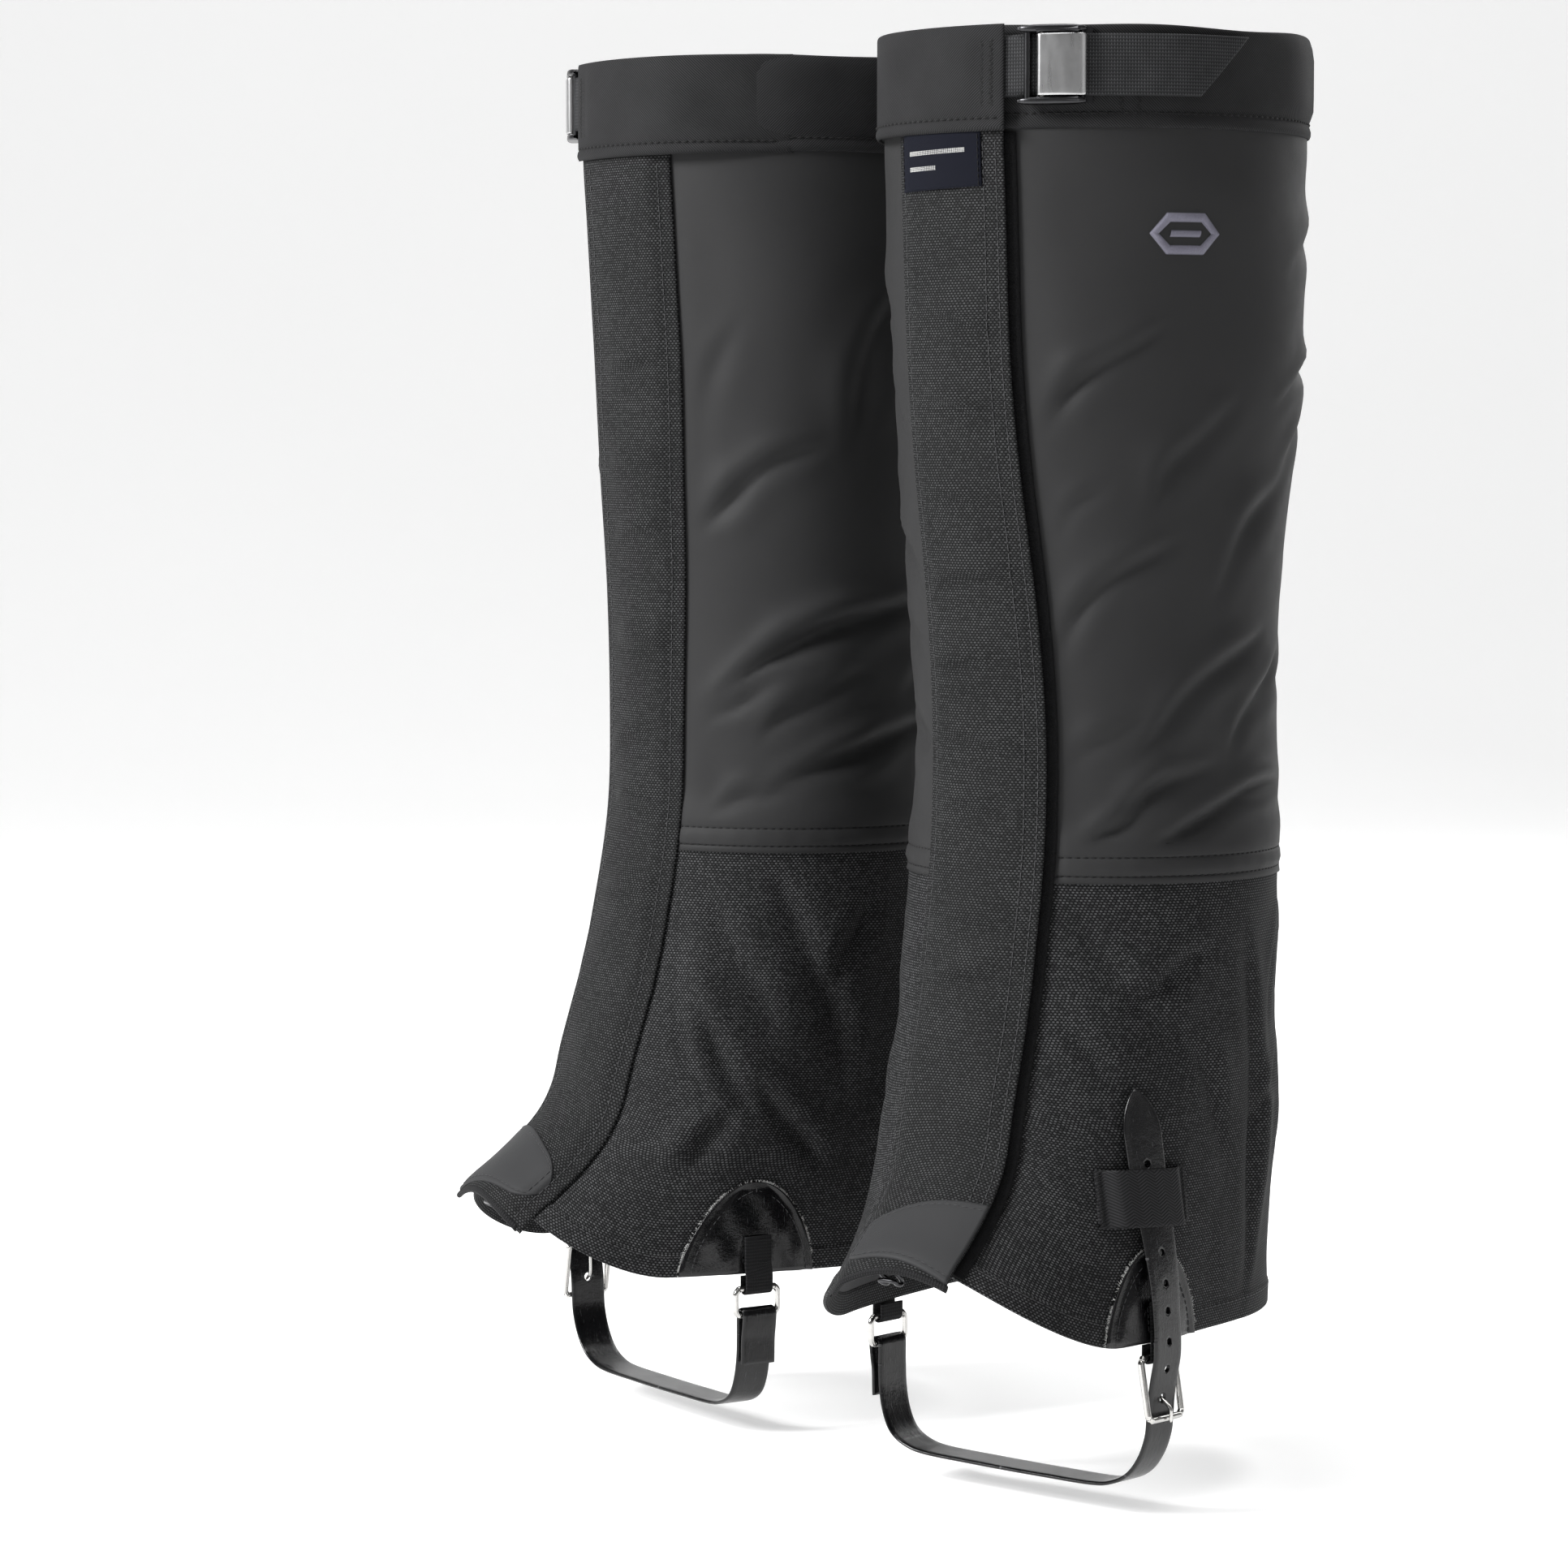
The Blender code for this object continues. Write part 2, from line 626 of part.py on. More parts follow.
def build_keeper(g):
    width = 0.029

    def point(c, row):
        ramp = min(1.0, max(0.0, (0.0130 - abs(c - 0.5) * width) / 0.0040))
        off = PATCH_OFF + (TAIL_OFF + STRAP_THICK + GAP - PATCH_OFF) * ramp
        return on_side(OUTER_STRAP_Y, False, off)(width)(c, row)

    sheet(g, "strap_keeper", [KEEPER_LOW_Z, KEEPER_HIGH_Z], 16, point, 0.0008, "webbing_black")


def build_strap(g):
    outer, inner, along, across = strap_axes()
    outer_foot = Vector((outer.x, outer.y, 0.0))
    inner_foot = Vector((inner.x, inner.y, 0.0))
    up = Vector((0.0, 0.0, 1.0))
    arched_patch(g, "outer_patch", OUTER_STRAP_Y, False, 0.0195, 0.032)
    arched_patch(g, "inner_patch", INNER_STRAP_Y, True, 0.0225, 0.034)
    build_tail(g)
    build_keeper(g)
    anchor_rows = [HEM_Z + 0.0010, 0.0690, 0.0760]
    for name, strap_y, is_inner in (("outer_tab_anchor", OUTER_STRAP_Y, False),
                                    ("inner_tab_anchor", INNER_STRAP_Y, True)):
        place = on_side(strap_y, is_inner, PATCH_OFF + PATCH_THICK + GAP)(TAB_WIDTH)
        sheet(g, name, anchor_rows, 2, place, 0.0012, "webbing_black")

    # The loop hangs below the hem and swings about the line through both tabs.
    middle = 0.5 * (outer_foot + inner_foot)
    pivot = (middle.x, middle.y, SWING_Z)
    outer_part, inner_part = strap_path()
    path = []
    for k in (75.0, 55.0, 30.0, 0.0):
        turn = math.radians(k)
        rise = STRAP_WIDTH / 2 * math.sin(turn)
        path.append((outer_foot + along * 0.0055 + up * (SWING_Z + rise), math.cos(turn)))
    path += [(outer_foot - along * inset + up * height, 1.0) for inset, height in outer_part]
    path += [(inner_foot + along * inset + up * height, 1.0) for inset, height in inner_part]

    def strap_point(c, row):
        spot, share = path[row]
        return spot + across * (c - 0.5) * STRAP_WIDTH * share

    strap = sheet(g, "instep_strap", range(len(path)), 2, strap_point, STRAP_THICK, "strap_black",
                  pivot, 0.0)
    first = outer_foot + along * 0.0029 + up * FIRST_HOLE_Z
    second = outer_foot + along * 0.0047 + up * (FIRST_HOLE_Z + HOLE_PITCH)
    punch_holes(g, strap, [(first, along), (second, along)])

    # Tab loops around the buckle's and the ring's upper bars.
    def tab_loop(name, foot, outward, bar_n, bar_z):
        line = [(-TAB_RADIUS, TAB_TOP_Z - bar_z)]
        for k in range(7):
            turn = math.radians(180.0 + 30.0 * k)
            line.append((TAB_RADIUS * math.cos(turn), TAB_RADIUS * math.sin(turn)))
        line.append((TAB_RADIUS, TAB_TOP_Z - bar_z))

        def point(c, row):
            out, rise = line[row]
            return (foot + outward * (bar_n + out) + up * (bar_z + rise)
                    + across * (c - 0.5) * TAB_WIDTH)

        return sheet(g, name, range(len(line)), 2, point, 0.0008, "webbing_black", pivot, 0.0)

    outer_tab = tab_loop("outer_tab_loop", outer_foot, along, BAR_N, BAR_Z)
    inner_tab = tab_loop("inner_tab_loop", inner_foot, -along, BAR_N, RING_TOP_Z)
    slot = cutter(g, "prong_slot", box_mesh(g.prefix + "prong_slot", (0.012, 0.0034, 0.0090)),
                  g.world(outer_foot + along * BAR_N + up * (TAB_TOP_Z - 0.0057)),
                  (0.0, 0.0, g.turn + g.side * math.atan2(along.y, along.x)))
    modifier(outer_tab, "BOOLEAN", operation="DIFFERENCE", object=slot, solver="EXACT")

    # Wire buckle frame, its prong, and the inner ring.
    def rectangle(foot, outward, top, bottom):
        slope = Vector((top[0] - bottom[0], top[1] - bottom[1]))
        centre = 0.5 * Vector((top[0] + bottom[0], top[1] + bottom[1]))
        points = []
        for u, v in rounded_rectangle(FRAME_HALF, slope.length / 2, 0.0022):
            n = centre.x + slope.normalized().x * v
            z = centre.y + slope.normalized().y * v
            points.append(foot + outward * n + up * z + across * u)
        return points

    frame = wire(g, "buckle_frame", rectangle(outer_foot, along, (BAR_N, BAR_Z),
                                              (FAR_BAR_N, FAR_BAR_Z)),
                 WIRE_RADIUS, "steel_wire", True, pivot)
    ring = wire(g, "inner_ring", rectangle(inner_foot, -along, (BAR_N, RING_TOP_Z),
                                           (BAR_N, RING_LOW_Z)),
                WIRE_RADIUS, "steel_wire", True, pivot)
    bar = outer_foot + along * BAR_N + up * BAR_Z
    line = []
    for k in range(9):
        turn = math.radians(-60.0 + 35.0 * k)
        line.append(bar + along * 0.0019 * math.cos(turn) + up * 0.0019 * math.sin(turn))
    for n, z in ((0.0007, 0.0530), (0.0007, 0.0455), (0.0030, 0.0432), (0.0066, 0.0400),
                 (0.0070, 0.0385), (0.0070, 0.0350)):
        line.append(outer_foot + along * n + up * z)
    prong = wire(g, "buckle_prong", line, PRONG_RADIUS, "steel_wire", pivot=tuple(bar))
    for piece in (outer_tab, inner_tab, frame, ring, prong):
        keep_parent(piece, strap)


def build_gaiter(side):
    g = Gaiter(side)
    build_shell(g)
    build_front(g)
    build_badge(g)
    build_cinch(g)
    build_strap(g)
    return g


def main():
    clear_scene()
    collection(COLLECTION)
    collection(CUTTERS)
    for side in (1, -1):
        build_gaiter(side)


main()
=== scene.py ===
"""Visual model of a mirrored pair of knee-high hiking gaiters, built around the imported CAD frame.

Metres, +Z up, the wearer faces -Y and the left gaiter is at +X. Each gaiter is shaped in its own
leg frame (x to the outer side, y to the heel, z up) and then placed, as the CAD is.
"""
import math

import bmesh
import bpy
import numpy as np
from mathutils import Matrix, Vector

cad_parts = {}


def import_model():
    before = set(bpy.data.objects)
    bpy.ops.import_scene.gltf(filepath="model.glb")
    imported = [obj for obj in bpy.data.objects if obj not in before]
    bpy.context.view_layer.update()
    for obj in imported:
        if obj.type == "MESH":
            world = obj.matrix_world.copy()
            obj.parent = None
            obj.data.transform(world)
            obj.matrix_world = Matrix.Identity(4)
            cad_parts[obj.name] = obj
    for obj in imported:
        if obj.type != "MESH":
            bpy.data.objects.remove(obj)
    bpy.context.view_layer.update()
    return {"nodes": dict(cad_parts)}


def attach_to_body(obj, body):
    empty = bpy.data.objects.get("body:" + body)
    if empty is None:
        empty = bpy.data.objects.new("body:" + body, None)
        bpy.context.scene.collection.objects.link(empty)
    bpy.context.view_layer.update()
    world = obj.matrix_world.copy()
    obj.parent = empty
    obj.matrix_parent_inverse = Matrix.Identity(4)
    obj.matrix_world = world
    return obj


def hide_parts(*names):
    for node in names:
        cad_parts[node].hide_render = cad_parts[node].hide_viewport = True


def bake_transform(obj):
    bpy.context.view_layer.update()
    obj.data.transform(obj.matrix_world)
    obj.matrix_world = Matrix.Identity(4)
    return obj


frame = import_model()

# ---- the CAD's own measures, repeated
LEG_SPACING = 0.175
TOE_OUT = math.radians(15.0)
TOP_Z = 0.520
CUFF_Z = 0.485
SEAM_Z = 0.222
INSTEP_Z = 0.170
HEM_Z = 0.063
FLAP_END_Z = 0.054
TOE_LIFT = 0.0306
LIFT_SPREAD = math.radians(38.0)
TOE_BLUNTNESS = 1.2
# Height, then the reach to the side, the front and the back.
STATIONS = np.array((
    (0.054, 0.0615, 0.1263, 0.0690),
    (0.063, 0.0620, 0.1215, 0.0690),
    (0.075, 0.0625, 0.1120, 0.0685),
    (0.090, 0.0630, 0.1010, 0.0682),
    (0.105, 0.0636, 0.0920, 0.0680),
    (0.120, 0.0642, 0.0865, 0.0678),
    (0.140, 0.0648, 0.0830, 0.0675),
    (0.170, 0.0652, 0.0763, 0.0670),
    (0.190, 0.0656, 0.0713, 0.0668),
    (0.233, 0.0658, 0.0637, 0.0668),
    (0.270, 0.0645, 0.0625, 0.0655),
    (0.320, 0.0660, 0.0640, 0.0670),
    (0.370, 0.0704, 0.0680, 0.0710),
    (0.420, 0.0737, 0.0712, 0.0740),
    (0.460, 0.0750, 0.0735, 0.0752),
    (0.485, 0.0750, 0.0750, 0.0750),
    (0.520, 0.0750, 0.0750, 0.0750),
))
FLAP_CENTRE_X = -0.0105
FLAP_DRIFT = 0.0045
FLAP_HALF = 0.025
SHELL_OUTER_ARC = -0.004
SHELL_INNER_ARC = -0.012
CINCH_Z = 0.5060
WEB_WIDTH = 0.021
WEB_OFF = 0.0030
WEB_THICK = 0.0012
WEB_START = math.radians(-6.0)
WEB_END_TOP = math.radians(73.5)
WEB_END_BOTTOM = math.radians(58.5)
BUCKLE_ANGLE = math.radians(22.0)
CHEEK_HALF = 0.0109
STRAP_WIDTH = 0.015
STRAP_THICK = 0.0014
OUTER_STRAP_Y = -0.056
INNER_STRAP_Y = -0.040
STRAP_BOTTOM_Z = 0.0105
TAIL_TOP_Z = 0.149
HOLE_PITCH = 0.0103
FIRST_HOLE_Z = 0.0432
WIRE_RADIUS = 0.0012
BAR_Z = 0.0580
BAR_N = 0.0010
FAR_BAR_Z = 0.0365
FAR_BAR_N = 0.0048
RING_TOP_Z = 0.0575
RING_LOW_Z = 0.0475
FRAME_HALF = 0.0093
TAB_WIDTH = 0.012
KEEPER_LOW_Z = 0.103
KEEPER_HIGH_Z = 0.123
NOMINAL_RADIUS = 0.068

# ---- the cloth, and the radii that turn arcs on it into angles
SEAM_ROWS = (0.2244, 0.2310)
HEM_LINE = HEM_Z + 0.0012
UPPER_THICK = 0.0008
LOWER_THICK = 0.0009
FLAP_THICK = 0.0012
KEEPER_RADIUS = 0.066
TAB_RADIUS = 0.064
WEB_RADIUS = 0.078
FLAP_LOW_OFF = 0.00115
FLAP_HIGH_OFF = 0.0037
FOLD_WIDTH_GAIN = 0.66
FOLD_DEPTH_GAIN = 1.75

# ---- steps of the numeric searches and differences
TURN_STEP = 0.002
RISE_STEP = 0.0005
AIM_STEPS = 14
ARC_STEPS = 12
HALVINGS = 40

# ---- the stage; each light has a name, a place, a size and a power
VIEW_DIRECTION = (-0.7621, 0.6438, -0.0684)
LIGHT_TARGET = (0.0, 0.0, 0.30)
LIGHTS = (
    ("key", (-0.9, -2.3, 1.7), (1.0, 1.0), 124.0),
    ("top", (0.1, -0.1, 2.4), (1.4, 1.4), 34.0),
    ("fill", (2.5, -0.4, 0.9), (1.2, 1.6), 2.5),
    ("rim", (-0.4, 2.3, 1.5), (1.4, 1.4), 20.0),
)
UP = np.array([0, 0, 1.0])

# ---- flat sizes of the cut cloth, as (width, length)
UPPER_CUT = (0.440, 0.266)
LOWER_CUT = (0.455, 0.171)
SIDES = (1, -1)
NAMES = {1: "left_", -1: "right_"}


# ================================================================ the leg's surface
def reach(h):
    """Side, front and back reach at nominal heights, eased between the stations."""
    h = np.asarray(h, float)
    marks = STATIONS[:, 0]
    last = len(marks) - 1
    i = np.clip(np.searchsorted(marks, h, side="left") - 1, 0, last - 1)
    low, high = STATIONS[i], STATIONS[i + 1]
    before, after = STATIONS[np.maximum(i - 1, 0)], STATIONS[np.minimum(i + 2, last)]
    span = (high[..., 0] - low[..., 0])[..., None]
    t = (h[..., None] - low[..., :1]) / span
    slope_low = (high - before) / (high[..., :1] - before[..., :1]) * span
    slope_high = (after - low) / (after[..., :1] - low[..., :1]) * span
    out = ((2 * t**3 - 3 * t**2 + 1) * low + (t**3 - 2 * t**2 + t) * slope_low
           + (3 * t**2 - 2 * t**3) * high + (t**3 - t**2) * slope_high)
    return out[..., 1], out[..., 2], out[..., 3]


def turned(angle):
    """Angles brought to the half turn on either side of the front."""
    return (angle + math.pi) % (2 * math.pi) - math.pi


def bell(x, width):
    return np.exp(-((x / width) ** 2))


def base(angle, h):
    """Inner face of the fabric at angles from the front and nominal heights."""
    angle, h = np.broadcast_arrays(np.asarray(angle, float), np.asarray(h, float))
    side, front, back = reach(h)
    low = np.maximum(0.0, (INSTEP_Z - h) / (INSTEP_Z - HEM_Z))
    sine, cosine = np.sin(angle), np.cos(angle)
    depth = np.where(cosine > 0, front, back)
    power = 2.0 + np.where(cosine > 0, TOE_BLUNTNESS * low, 0.0)
    radius = (np.abs(sine / side) ** power + np.abs(cosine / depth) ** power) ** (-1.0 / power)
    near = np.maximum(0.0, 1.0 - np.abs(turned(angle)) / LIFT_SPREAD)
    lift = TOE_LIFT * low**1.5 * near * near * (3 - 2 * near)
    return np.stack([radius * sine, -radius * cosine, h + lift], -1)


def unit(v):
    return v / np.maximum(np.linalg.norm(v, axis=-1, keepdims=True), 1e-12)


def normal(angle, h):
    angle, h = np.asarray(angle), np.asarray(h)
    around = base(angle + TURN_STEP, h) - base(angle - TURN_STEP, h)
    upward = base(angle, h + RISE_STEP) - base(angle, h - RISE_STEP)
    return unit(np.cross(around, upward))


def skin(angle, h, off):
    """Points at a distance outside the fabric's inner face."""
    angle, h, off = np.broadcast_arrays(angle, h, off)
    return base(angle, h) + normal(angle, h) * off[..., None]


def flap_centre(h):
    """The flap's centre line drifts to the outer side down the shin."""
    return FLAP_CENTRE_X + FLAP_DRIFT * (1 - 2 * ease((h - 0.260) / 0.160))


def angle_at_arc(arc, h, centre=None):
    """Angles at arc lengths around the leg from a line of constant x, or the flap's centre line."""
    arc, h = np.broadcast_arrays(np.asarray(arc, float), np.asarray(h, float))
    if centre is None:
        centre = flap_centre(h)
    angle = np.zeros(arc.shape)

    def rate(a):
        return (base(a + TURN_STEP, h) - base(a - TURN_STEP, h)) / (2 * TURN_STEP)

    for _ in range(AIM_STEPS):
        angle = angle + (centre - base(angle, h)[..., 0]) / rate(angle)[..., 0]
    step = arc / ARC_STEPS
    for _ in range(ARC_STEPS):
        middle = angle + 0.5 * step / np.linalg.norm(rate(angle), axis=-1)
        angle = angle + step / np.linalg.norm(rate(middle), axis=-1)
    return angle


def angle_at_y(target, h, inner=False):
    """Angle on the outer or inner side where the fabric is at a given y."""
    h = np.asarray(h, float)
    low = np.full(h.shape, math.radians(5.0))
    high = np.full(h.shape, math.radians(150.0))
    for _ in range(HALVINGS):
        middle = 0.5 * (low + high)
        below = base(middle, h)[..., 1] < target
        low, high = np.where(below, middle, low), np.where(below, high, middle)
    return -low if inner else low


def world(side, p):
    """Leg-frame points in the shared frame."""
    p = np.asarray(p, float)
    c, s = math.cos(side * TOE_OUT), math.sin(side * TOE_OUT)
    x, y = side * p[..., 0], p[..., 1]
    return np.stack([c * x - s * y + side * LEG_SPACING / 2, s * x + c * y, p[..., 2]], -1)


def ease(t):
    t = np.clip(t, 0.0, 1.0)
    return t * t * (3 - 2 * t)


def strap_axes():
    h = HEM_Z + 0.001
    outer = base(angle_at_y(OUTER_STRAP_Y, h), h)
    inner = base(angle_at_y(INNER_STRAP_Y, h, True), h)
    along = unit(np.array([outer[0] - inner[0], outer[1] - inner[1], 0.0]))
    across = np.array([-along[1], along[0], 0.0])
    return outer * (1, 1, 0), inner * (1, 1, 0), along, across


# ================================================================ mesh building
def link_object(name, data):
    obj = bpy.data.objects.new(name, data)
    bpy.context.scene.collection.objects.link(obj)
    return obj


def aim(obj, at, direction, axis):
    """Puts an object at a point and turns one of its axes in a direction."""
    obj.location = at
    obj.rotation_mode = "QUATERNION"
    obj.rotation_quaternion = Vector(direction).to_track_quat(axis, "Y")


def finish_mesh(name, verts, faces, uv, materials, slots=None, flip=False):
    if flip:
        faces = faces[:, ::-1]
        uv = None if uv is None else uv[:, ::-1]
    mesh = bpy.data.meshes.new(name)
    mesh.from_pydata(verts.tolist(), [], faces.tolist())
    for mat in materials:
        mesh.materials.append(mat)
    if uv is not None:
        layer = mesh.uv_layers.new(name="cloth")
        layer.data.foreach_set("uv", uv.reshape(-1).astype(np.float32))
    if slots is not None:
        mesh.polygons.foreach_set("material_index", slots.astype(np.int32))
    mesh.shade_smooth()
    return link_object(name, mesh)


def grid_faces(rows, cols, wrap):
    """Quads of a rows x cols grid of points; wrap closes it along the columns."""
    r, c = np.meshgrid(np.arange(rows - 1), np.arange(cols if wrap else cols - 1), indexing="ij")
    r, c = r.ravel(), c.ravel()
    after = (c + 1) % cols
    quads = (r * cols + c, r * cols + after, (r + 1) * cols + after, (r + 1) * cols + c)
    return np.stack(quads, 1), r, c


def quad_mesh(name, points, uv, wrap, materials, flip, inner_columns=()):
    """A grid of points as a mesh; inner_columns take the second material."""
    faces, r, c = grid_faces(*points.shape[:2], wrap)
    corners = np.stack([uv[r, c], uv[r, c + 1], uv[r + 1, c + 1], uv[r + 1, c]], 1)
    slots = np.isin(c, list(inner_columns)) if inner_columns else None
    return finish_mesh(name, points.reshape(-1, 3), faces, corners, materials, slots, flip)


def surface(side, name, points, materials, thick=None, offset=1.0):
    """An open grid of leg-frame points (rows, columns, 3) with a thickness."""
    points = world(side, points)
    obj = quad_mesh(NAMES[side] + name, points, lay_uv(points), False, materials, side < 0)
    solid = obj.modifiers.new("Thickness", "SOLIDIFY")
    solid.thickness = thick
    solid.offset = offset
    solid.use_even_offset = False
    if len(materials) > 1:
        solid.material_offset = 1
    return obj


def loft(side, name, loops, uv, materials, inner_columns=()):
    """A closed body: a closed loop of leg-frame points swept through rows, with flat ends."""
    rows, cols = loops.shape[:2]
    flip = side < 0
    uv = np.stack(np.broadcast_arrays(*uv), -1)
    obj = quad_mesh(NAMES[side] + name, world(side, loops), uv, True, materials, flip,
                    inner_columns)
    bm = bmesh.new()
    bm.from_mesh(obj.data)
    bm.verts.ensure_lookup_table()
    layer = bm.loops.layers.uv.active
    for row, turn in ((0, -1), (rows - 1, 1)):
        ring = [bm.verts[row * cols + k] for k in range(cols)][::turn]
        face = bm.faces.new(ring[::-1] if flip else ring)
        for loop in face.loops:
            loop[layer].uv = uv[row, loop.vert.index % cols]
    bmesh.ops.recalc_face_normals(bm, faces=bm.faces)
    bm.to_mesh(obj.data)
    bm.free()
    return obj


def join_parts(side, name, parts, mat):
    """One mesh from many (verts, faces) arrays that share a face size."""
    verts, faces, total = [], [], 0
    for v, f in parts:
        verts.append(v.reshape(-1, 3))
        faces.append(f + total)
        total += len(verts[-1])
    return finish_mesh(NAMES[side] + name, np.concatenate(verts), np.concatenate(faces), None,
                       [mat])


def blend_flap(obj, side):
    """Bakes the piece's placement into its mesh. The ends of the flap's hinge by its sewn edge are
    found but not used: the cloth is not blended and does not swing.
    """
    start = world(side, (-0.0375, -0.066, 0.325))
    end = world(side, (-0.0225, -0.066, 0.325 + 0.0150 * 0.032))
    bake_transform(obj)


def attach(obj, side, body=None, slot=None, *nodes):
    """What a piece moves with (where no body is given, nothing: its placement is only baked into
    its mesh), its material slot, which is not used, and the CAD nodes it stands for."""
    if body is None:
        blend_flap(obj, side)
    else:
        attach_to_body(obj, NAMES[side] + body)
    name_piece(obj, side, slot, *nodes)


def name_piece(obj, side, slot, *nodes):
    if nodes:
        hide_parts(*(NAMES[side] + node for node in nodes))


def run_along(line):
    """Length along a line of points, at each of them."""
    return np.concatenate([[0], np.cumsum(np.linalg.norm(np.diff(line, axis=0), axis=1))])


def sample(marks, run, values):
    return np.stack([np.interp(marks, run, column) for column in values.T], 1)


def closed(values):
    """A closed section's values with the first repeated at the end."""
    return np.concatenate([values, values[:1]])


def catmull(points, spacing, cyclic=False):
    """A smooth line through points, resampled at a spacing."""
    p = np.asarray(points, float)
    if cyclic:
        p = np.concatenate([p[-1:], p, p[:2]])
    else:
        p = np.concatenate([2 * p[:1] - p[1:2], p, 2 * p[-1:] - p[-2:-1]])
    out = []
    t = np.linspace(0, 1, 12, endpoint=False)[:, None]
    for a, b, c, d in zip(p[:-3], p[1:-2], p[2:-1], p[3:]):
        out.append(0.5 * (2 * b + (c - a) * t + (2 * a - 5 * b + 4 * c - d) * t**2
                          + (3 * b - a - 3 * c + d) * t**3))
    fine = np.concatenate(out + [p[-2:-1]])
    length = run_along(fine)
    count = max(3, int(round(length[-1] / spacing)) + 1)
    line = sample(np.linspace(0, length[-1], count), length, fine)
    return line[:-1] if cyclic else line


def pipe(points, radius, sides=12, cyclic=False):
    """Verts and quads of a round wire along a line; radius may vary along it."""
    p = np.asarray(points, float)
    n = len(p)
    tangent = unit(np.roll(p, -1, 0) - np.roll(p, 1, 0) if cyclic else np.gradient(p, axis=0))
    start = np.array([0.3, 0.2, 0.93])
    u = unit(start - tangent[0] * (start @ tangent[0]))
    frames = []
    for along in tangent:
        u = unit(u - along * (u @ along))
        frames.append((u, np.cross(along, u)))
    twist = 0.0
    if cyclic:
        (first_u, _), (last_u, last_v) = frames[0], frames[-1]
        twist = math.atan2(first_u @ last_v, first_u @ last_u)
    turn = np.arange(sides) * 2 * math.pi / sides
    radius = np.broadcast_to(np.asarray(radius, float), (n,))
    rings = []
    for k, (u, v) in enumerate(frames):
        a = turn + twist * k / n
        rings.append(p[k] + radius[k] * (np.cos(a)[:, None] * u + np.sin(a)[:, None] * v))
    faces, _, _ = grid_faces(n, sides, True)
    if cyclic:
        c = np.arange(sides)
        after = (c + 1) % sides
        last = (n - 1) * sides
        faces = np.concatenate([faces, np.stack([last + c, last + after, after, c], 1)])
    return np.stack(rings), faces


def wire(side, name, points, radius, mat, spacing=0.0006, cyclic=False):
    """A bent wire; an open one has rounded ends."""
    line = catmull(points, spacing, cyclic)
    r = np.full(len(line), radius)
    if not cyclic:
        r[0] = r[-1] = radius * 0.25
        r[1] = r[-2] = radius * 0.8
    return join_parts(side, name, [pipe(world(side, line), r, 16, cyclic)], mat)


def cutter(build):
    """An object that carve takes out of a piece, from a function that fills a bmesh."""
    mesh = bpy.data.meshes.new("cutter")
    bm = bmesh.new()
    build(bm)
    bm.to_mesh(mesh)
    bm.free()
    return link_object("cutter", mesh)


def carve(obj, cutters):
    for item in cutters:
        cut = obj.modifiers.new("Cut", "BOOLEAN")
        cut.operation = "DIFFERENCE"
        cut.solver = "EXACT"
        cut.object = item
    bpy.context.view_layer.update()
    solid = obj.evaluated_get(bpy.context.evaluated_depsgraph_get())
    mesh = bpy.data.meshes.new_from_object(solid)
    obj.modifiers.clear()
    obj.data = mesh
    for item in cutters:
        bpy.data.objects.remove(item, do_unlink=True)


# ---------------------------------------------------------------- thread
def capsule():
    """A unit stitch along x: ends dip towards -z, where the thread enters the cloth."""
    sides = 6
    rings = []
    for x, r, drop in ((-1.0, 0.35, -1.1), (-0.75, 0.85, -0.3), (0.0, 1.0, 0.0),
                       (0.75, 0.85, -0.3), (1.0, 0.35, -1.1)):
        for k in range(sides):
            a = 2 * math.pi * k / sides
            rings.append((x, r * math.cos(a), r * math.sin(a) + drop))
    faces, _, _ = grid_faces(5, sides, True)
    return np.array(rings), faces


CAPSULE, CAPSULE_FACES = capsule()


def copies(verts, faces):
    """One part from copies (copy, vert, 3) of a shape with the given faces."""
    faces = faces[None] + (np.arange(len(verts)) * verts.shape[1])[:, None, None]
    return verts.reshape(-1, 3), faces.reshape(-1, 4)


def raised(side, angle, h, off):
    """Points off a gaiter's skin and the directions away from it."""
    p = world(side, skin(angle, h, off))
    return p, unit(world(side, skin(angle, h, off + 0.001)) - p)


def seam(side, angle, h, off, pitch=0.0028, length=0.0025, radius=0.00022, slant=0.0, zigzag=False):
    """A row of stitches on a gaiter's skin. slant turns each one in the cloth's plane, every
    other one the opposite way in a zigzag."""
    line, normals = raised(side, angle, h, off)
    total = run_along(line)
    count = max(1, int(total[-1] / pitch))
    marks = (np.arange(count) + 0.5) * total[-1] / count
    at = sample(marks, total, line)[:, None]
    n = unit(sample(marks, total, normals))
    t = unit(sample(marks + 1e-4, total, line) - sample(marks - 1e-4, total, line))
    turn = slant * (np.where(np.arange(count) % 2 == 0, 1.0, -1.0)[:, None] if zigzag else 1.0)
    t2 = np.cos(turn) * t + np.sin(turn) * np.cross(n, t)
    b2 = np.cross(n, t2)
    x, y, z = (CAPSULE[None, :, k:k + 1] for k in range(3))
    verts = (at + x * t2[:, None] * length / 2 + y * b2[:, None] * radius
             + z * n[:, None] * radius)
    return copies(verts, CAPSULE_FACES)


def sew(side, name, rows, mat, body=None):
    attach(join_parts(side, name, rows, mat), side, body)


